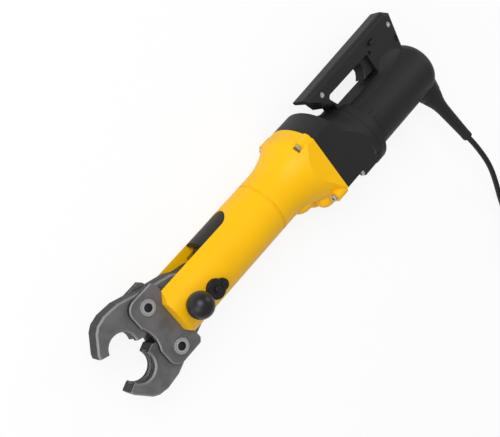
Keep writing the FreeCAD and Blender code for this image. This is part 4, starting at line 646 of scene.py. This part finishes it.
# ---- cast bosses under the bell
bossSteps = 56
bellBosses = {
    # (place of the root, profile of distance and radius towards the jaws), both in mm
    "rearBoss": ((222.0, -45.0, 10.0), [
        (0.0, 10.6), (13.0, 10.9), (18.0, 10.5), (21.5, 9.5),
        (24.5, 7.9), (26.8, 5.6), (28.2, 2.8), (28.6, 0.0),
    ]),
    "frontBoss": ((192.0, -26.5, 9.0), [
        (0.0, 12.6), (12.0, 12.6), (17.0, 12.0), (21.0, 10.7),
        (24.5, 8.6), (27.0, 5.8), (28.5, 2.8), (29.0, 0.0),
    ]),
}


def addBosses(sizes):
    forward = Matrix.Rotation(math.radians(-90), 4, "Y")
    for name, (root, outline) in sizes.items():
        profile = [(d * millimetre, r * millimetre) for d, r in outline]
        for sideName, side in (("Near", 1), ("Far", -1)):
            place = Matrix.Translation(atTool(root[0], root[1], root[2] * side)) @ forward
            mesh = turnedMesh(name + sideName, profile, place, bossSteps)
            for face in mesh.polygons:
                face.use_smooth = len(face.vertices) < 5
            asPiece(name + sideName, mesh, finishes["yellow"], "press_head")


addBosses(bellBosses)
print("bosses are cast on")


# ---- fairing between the handle and the barrel
fairing = {
    "axisY": -24.0,
    "barrel": 33.6,  # just under the barrel's surface
    # (x, height at the handle's side, how far it spreads across, lift of its middle), from the motor's axis
    "stations": [
        (295.5, 31.0, 15.0, 0.2), (298.5, 32.6, 19.0, 1.0), (304.0, 33.3, 22.0, 1.7),
        (320.0, 33.4, 22.8, 1.9), (340.0, 33.4, 22.8, 1.9), (353.0, 33.5, 22.8, 1.8),
        (359.0, 35.0, 23.0, 1.2), (365.0, 39.5, 23.2, 0.2), (372.0, 45.0, 23.4, -0.9),
        (381.0, 47.5, 23.0, -1.6), (391.0, 45.0, 21.5, -1.6), (399.0, 39.0, 18.0, -0.9),
        (403.0, 31.5, 14.2, -0.2),
    ],
    "side": 12.7,  # half the handle's width, less a touch
    "across": 9,
    "hollow": 0.35,  # the share by which the curve's control point leaves the inner corner
    "footInset": 1.5,
    "footSink": 3.0,
    "sideInset": 1.0,
    "topSink": 0.5,
}


def addFairing(name, sizes, side):
    form = bmesh.new()
    rows = []
    for x, top, spread, lift in sizes["stations"]:
        foot = math.sqrt(sizes["barrel"] ** 2 - spread**2)
        a = Vector((sizes["side"], top))
        b = Vector((spread, foot))
        share = sizes["hollow"]
        corner = Vector((sizes["side"] + (spread - sizes["side"]) * share, foot + (top - foot) * share))
        row = []
        for i in range(sizes["across"]):
            t = i / (sizes["across"] - 1)
            bowed = a * (1 - t) ** 2 + corner * 2 * t * (1 - t) + b * t**2
            out = Vector((b.y - a.y, a.x - b.x)) * -1
            bowed += out.normalized() * lift * 4 * t * (1 - t)
            row.append(form.verts.new(atTool(x, sizes["axisY"] + bowed.y, bowed.x * side)))
        deep = foot - sizes["footSink"]
        inner = sizes["side"] - sizes["sideInset"]
        under = [(spread - sizes["footInset"], deep), (inner, deep), (inner, top - sizes["topSink"])]
        row += [form.verts.new(atTool(x, sizes["axisY"] + h, z * side)) for z, h in under]
        rows.append(row)
    count = len(rows[0])
    for a, b in zip(rows, rows[1:]):
        for i in range(count):
            j = (i + 1) % count
            face = form.faces.new((a[i], a[j], b[j], b[i]))
            face.smooth = i < sizes["across"] - 1
    form.faces.new(rows[0])
    form.faces.new(list(reversed(rows[-1])))
    asPiece(name, meshOf(name, form), finishes["shell"], "motor_unit")


addFairing("fairingNear", fairing, 1)
addFairing("fairingFar", fairing, -1)
print("fairings are on")


# ---- rings of bars: painted shade for the vent slots, and the plug's grip
def barRingTree():
    tree = bpy.data.node_groups.new("barRing", "GeometryNodeTree")
    face = tree.interface
    for title, kind, start in (
        ("Count", "NodeSocketInt", 6), ("Ring Radius", "NodeSocketFloat", 0.03),
        ("First Angle", "NodeSocketFloat", 0.0), ("Angle Step", "NodeSocketFloat", 0.2),
        ("Bar Size", "NodeSocketVector", (0.004, 0.001, 0.0005)),
    ):
        face.new_socket(name=title, in_out="INPUT", socket_type=kind).default_value = start
    face.new_socket(name="Finish", in_out="INPUT", socket_type="NodeSocketMaterial")
    face.new_socket(name="Bars", in_out="OUTPUT", socket_type="NodeSocketGeometry")

    def add(kind, settings=None, links=None):
        made = tree.nodes.new(kind)
        for key, value in (settings or {}).items():
            setattr(made, key, value)
        for socket, value in (links or {}).items():
            if hasattr(value, "is_output"):
                tree.links.new(value, made.inputs[socket])
            else:
                made.inputs[socket].default_value = value
        return made

    def maths(operation, a, b=0.0):
        return add("ShaderNodeMath", {"operation": operation}, {0: a, 1: b}).outputs[0]

    given = add("NodeGroupInput").outputs
    order = add("GeometryNodeInputIndex").outputs[0]
    angle = maths("ADD", maths("MULTIPLY", order, given["Angle Step"]), given["First Angle"])
    ahead = maths("MULTIPLY", maths("COSINE", angle), given["Ring Radius"])
    beside = maths("MULTIPLY", maths("SINE", angle), given["Ring Radius"])
    where = add("ShaderNodeCombineXYZ", links={"Y": ahead, "Z": beside}).outputs[0]
    places = add("GeometryNodePoints", links={"Count": given["Count"], "Position": where}).outputs[0]
    ball = add("GeometryNodeMeshUVSphere", links={"Segments": 14, "Rings": 10, "Radius": 1.0}).outputs["Mesh"]
    bar = add("GeometryNodeTransform", links={"Geometry": ball, "Scale": given["Bar Size"]}).outputs[0]
    turn = add("ShaderNodeCombineXYZ", links={"X": angle}).outputs[0]
    facing = add("FunctionNodeEulerToRotation", links={0: turn}).outputs[0]
    spread = add("GeometryNodeInstanceOnPoints", links={"Points": places, "Instance": bar, "Rotation": facing})
    real = add("GeometryNodeRealizeInstances", links={"Geometry": spread.outputs[0]}).outputs[0]
    smooth = add("GeometryNodeSetShadeSmooth", links={"Geometry": real}).outputs[0]
    dressed = add("GeometryNodeSetMaterial", links={"Geometry": smooth, "Material": given["Finish"]}).outputs[0]
    add("NodeGroupOutput", links={"Bars": dressed})
    return tree


barRing = barRingTree()


def addBars(name, sizes, place, finish, body):
    carrier = bpy.data.objects.new(name + "Carrier", bpy.data.meshes.new(name + "Carrier"))
    bpy.context.scene.collection.objects.link(carrier)
    modifier = carrier.modifiers.new("bars", "NODES")
    modifier.node_group = barRing
    values = dict(sizes, Finish=finish)
    for socket in barRing.interface.items_tree:
        if socket.in_out == "INPUT" and socket.name in values:
            modifier[socket.identifier] = values[socket.name]
    ready = carrier.evaluated_get(bpy.context.evaluated_depsgraph_get())
    mesh = bpy.data.meshes.new_from_object(ready)
    mesh.name = name
    carrier.modifiers.remove(modifier)
    bpy.data.objects.remove(carrier)
    mesh.transform(place)
    return asPiece(name, mesh, finish, body)


# dark flat bars on the barrel: painted shade standing for the vent slots' hollows
ventShadeBars = {
    "Count": 6, "Ring Radius": 0.0341, "Angle Step": math.radians(12.0), "Bar Size": (0.0046, 0.00045, 0.0010),
}
ventMiddle = (306.5, -24.0, 0.0)
ventStarts = {"ventsNear": math.radians(62.0), "ventsFar": -math.radians(122.0)}
for ventName, ventStart in ventStarts.items():
    ventShadeBars["First Angle"] = ventStart
    ventPlace = Matrix.Translation(atTool(*ventMiddle))
    addBars(ventName, ventShadeBars, ventPlace, finishes["hollow"], "motor_unit")
print("vents are cut")


# ---- plug
plugGrip = {  # the ring is left open below, where the plug lies on the floor
    "Count": 21, "Ring Radius": 0.0180, "First Angle": math.radians(-48.5), "Angle Step": math.radians(13.85),
    "Bar Size": (0.0095, 0.0008, 0.0011),
}
gripInset = 0.0140  # from the plug's front face back to the middle of the ring
plugTurn = Matrix.Rotation(math.radians(-90), 4, "Z")
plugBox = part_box("power_plug")
plugMiddle = (Vector(plugBox[0]) + Vector(plugBox[1])) / 2
plugMiddle.y = plugBox[0][1] + gripInset
gripPlace = Matrix.Translation(plugMiddle) @ plugTurn
plugBars = addBars("plugGrip", plugGrip, gripPlace, finishes["trim"], "motor_unit")
print("plug is dressed")


# ---- strap round the coil
strap = {
    "left": 505.6, "right": 545.4, "low": -42.5, "high": -10.2, "y": -325.0,
    "thickness": 1.0, "corner": 2.5, "cornerSteps": 8, "width": 9.0, "edge": 0.35,
    "tab": 19.0, "tabSteps": 12, "tabStart": 3.0, "tabLift": 0.05,
    "roundSteps": 2.5, "roundDepth": 7.2, "leastShare": 0.08,  # the tab's rounded end
}


def sweptStrap(form, path, outward, shares, sizes, closed):  # shares: how much of the width each place has
    half = sizes["width"] / 2
    thick = sizes["thickness"] / 2
    edge = sizes["edge"]
    outline = [
        (-half + edge, -thick), (half - edge, -thick), (half, -thick + edge), (half, thick - edge),
        (half - edge, thick), (-half + edge, thick), (-half, thick - edge), (-half, -thick + edge),
    ]
    rows = []
    for (x, z), (nx, nz), share in zip(path, outward, shares):
        ring = [atTool(x + nx * t, sizes["y"] + w * share, z + nz * t) for w, t in outline]
        rows.append([form.verts.new(place) for place in ring])
    pairs = list(zip(rows, rows[1:])) + ([(rows[-1], rows[0])] if closed else [])
    for a, b in pairs:
        for i in range(len(outline)):
            j = (i + 1) % len(outline)
            form.faces.new((a[i], a[j], b[j], b[i])).smooth = True
    if not closed:
        form.faces.new(rows[0])
        form.faces.new(list(reversed(rows[-1])))


def addStrap(sizes):
    inset = sizes["thickness"] / 2
    corner = sizes["corner"]
    left, right = sizes["left"] + inset, sizes["right"] - inset
    low, high = sizes["low"] + inset, sizes["high"] - inset
    path = []
    outward = []
    for cx, cz, first in ((right, high, 0), (left, high, 90), (left, low, 180), (right, low, 270)):
        mx = cx - corner if cx == right else cx + corner
        mz = cz - corner if cz == high else cz + corner
        for i in range(sizes["cornerSteps"] + 1):
            turn = math.radians(first + 90 * i / sizes["cornerSteps"])
            outward.append((math.cos(turn), math.sin(turn)))
            path.append((mx + corner * math.cos(turn), mz + corner * math.sin(turn)))
    form = bmesh.new()
    sweptStrap(form, path, outward, [1.0] * len(path), sizes, True)
    start = left + corner + sizes["tabStart"]
    lift = high + sizes["thickness"] + sizes["tabLift"]
    steps = sizes["tabSteps"]
    tab = [(start + sizes["tab"] * i / steps, lift) for i in range(steps + 1)]
    shares = []
    for i in range(steps + 1):
        missing = max(0.0, sizes["roundSteps"] - i) ** 2 / sizes["roundDepth"]
        shares.append(math.sqrt(max(sizes["leastShare"], 1 - missing)))
    sweptStrap(form, tab, [(0, 1)] * len(tab), shares, sizes, False)
    piece = asPiece("coilStrap", meshOf("coilStrap", form), finishes["tape"], "motor_unit")
    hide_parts("cord_tie")
    return piece


coilStrap = addStrap(strap)
print("strap is on")


# ---- mains lead
lead = {
    "diameter": 0.007,
    "length": 3.62,
    "exit": (424.5, -144.7, 0.0),  # the sleeve's tip
    "inside": (421.2, -125.0, 0.0),
    "route": [
        (427.9, -162.5, 0.0),
        (434.4, -196.7, -5.9),
        (439.4, -231.2, -20.8),
        (440.3, -267.0, -35.6),
        (437.0, -295.0, -38.7),
        (437.0, -310.0, -37.6),
    ],
    "coilStart": (437.0, -325.0, -37.6),
    "coilRadius": 51.75,
    "pitch": 7.5,
    "layers": 4,
    "halfTurns": 6,
    "pointsPerHalf": 6,
    "tail": [(0.0, -26.0, 0.0), (0.0, -50.0, -8.9), (0.0, -62.0, -8.9)],
}


def coilRoute(sizes):  # the turns wind in on one layer and out on the next
    x, y, z = sizes["coilStart"]
    perHalf = sizes["pointsPerHalf"]
    step = math.pi / perHalf
    down = 1  # 1 while the lead heads towards -Y
    route = [(x, y, z)]
    halves = []
    for layer in range(sizes["layers"]):
        inward = layer % 2 == 0
        count = sizes["halfTurns"] - (1 if layer == sizes["layers"] - 1 else 0)
        for i in range(count):
            place = i if inward else sizes["halfTurns"] - 1 - i
            halves.append((sizes["coilRadius"] - sizes["pitch"] / 2 * place, 0.0))
        if layer < sizes["layers"] - 1:
            over = -sizes["halfTurns"] if inward else 1
            halves.append((sizes["coilRadius"] + sizes["pitch"] / 2 * over, sizes["pitch"]))
    for radius, climb in halves:
        reach = radius / math.cos(step / 2)
        for i in range(perHalf):
            angle = step * (i + 0.5)
            across = radius - reach * math.cos(angle)
            beside = reach * math.sin(angle)
            route.append((x + across * down, y - beside * down, z + climb * across / (2 * radius)))
        x += 2 * radius * down
        z += climb
        down = -down
    route.append((x, y, z))
    return route


def addCord(name, points, diameter, finish):
    data = bpy.data.curves.new(name, "CURVE")
    data.dimensions = "3D"
    spline = data.splines.new("NURBS")
    spline.points.add(len(points) - 1)
    for point, where in zip(spline.points, points):
        point.co = (*where, 1)
    spline.order_u = 3
    spline.use_endpoint_u = True
    spline.resolution_u = 4
    data.bevel_depth = diameter / 2
    data.bevel_resolution = 4
    data.use_fill_caps = True
    data.materials.append(finish)
    piece = bpy.data.objects.new(name, data)
    bpy.context.scene.collection.objects.link(piece)
    return piece


coil = coilRoute(lead)
coilEnd = Vector(coil[-1])
tail = [tuple(coilEnd + Vector(p)) for p in lead["tail"]]
leadRoute = [lead["inside"], lead["exit"], *lead["route"], *coil, *tail]
mainsLead = addCord("mainsLead", [atTool(*p) for p in leadRoute], lead["diameter"], finishes["rubber"])
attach(mainsLead, "motor_unit")
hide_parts("power_cord", "cord_coil")
atTool(*lead["exit"])
print("lead is laid")
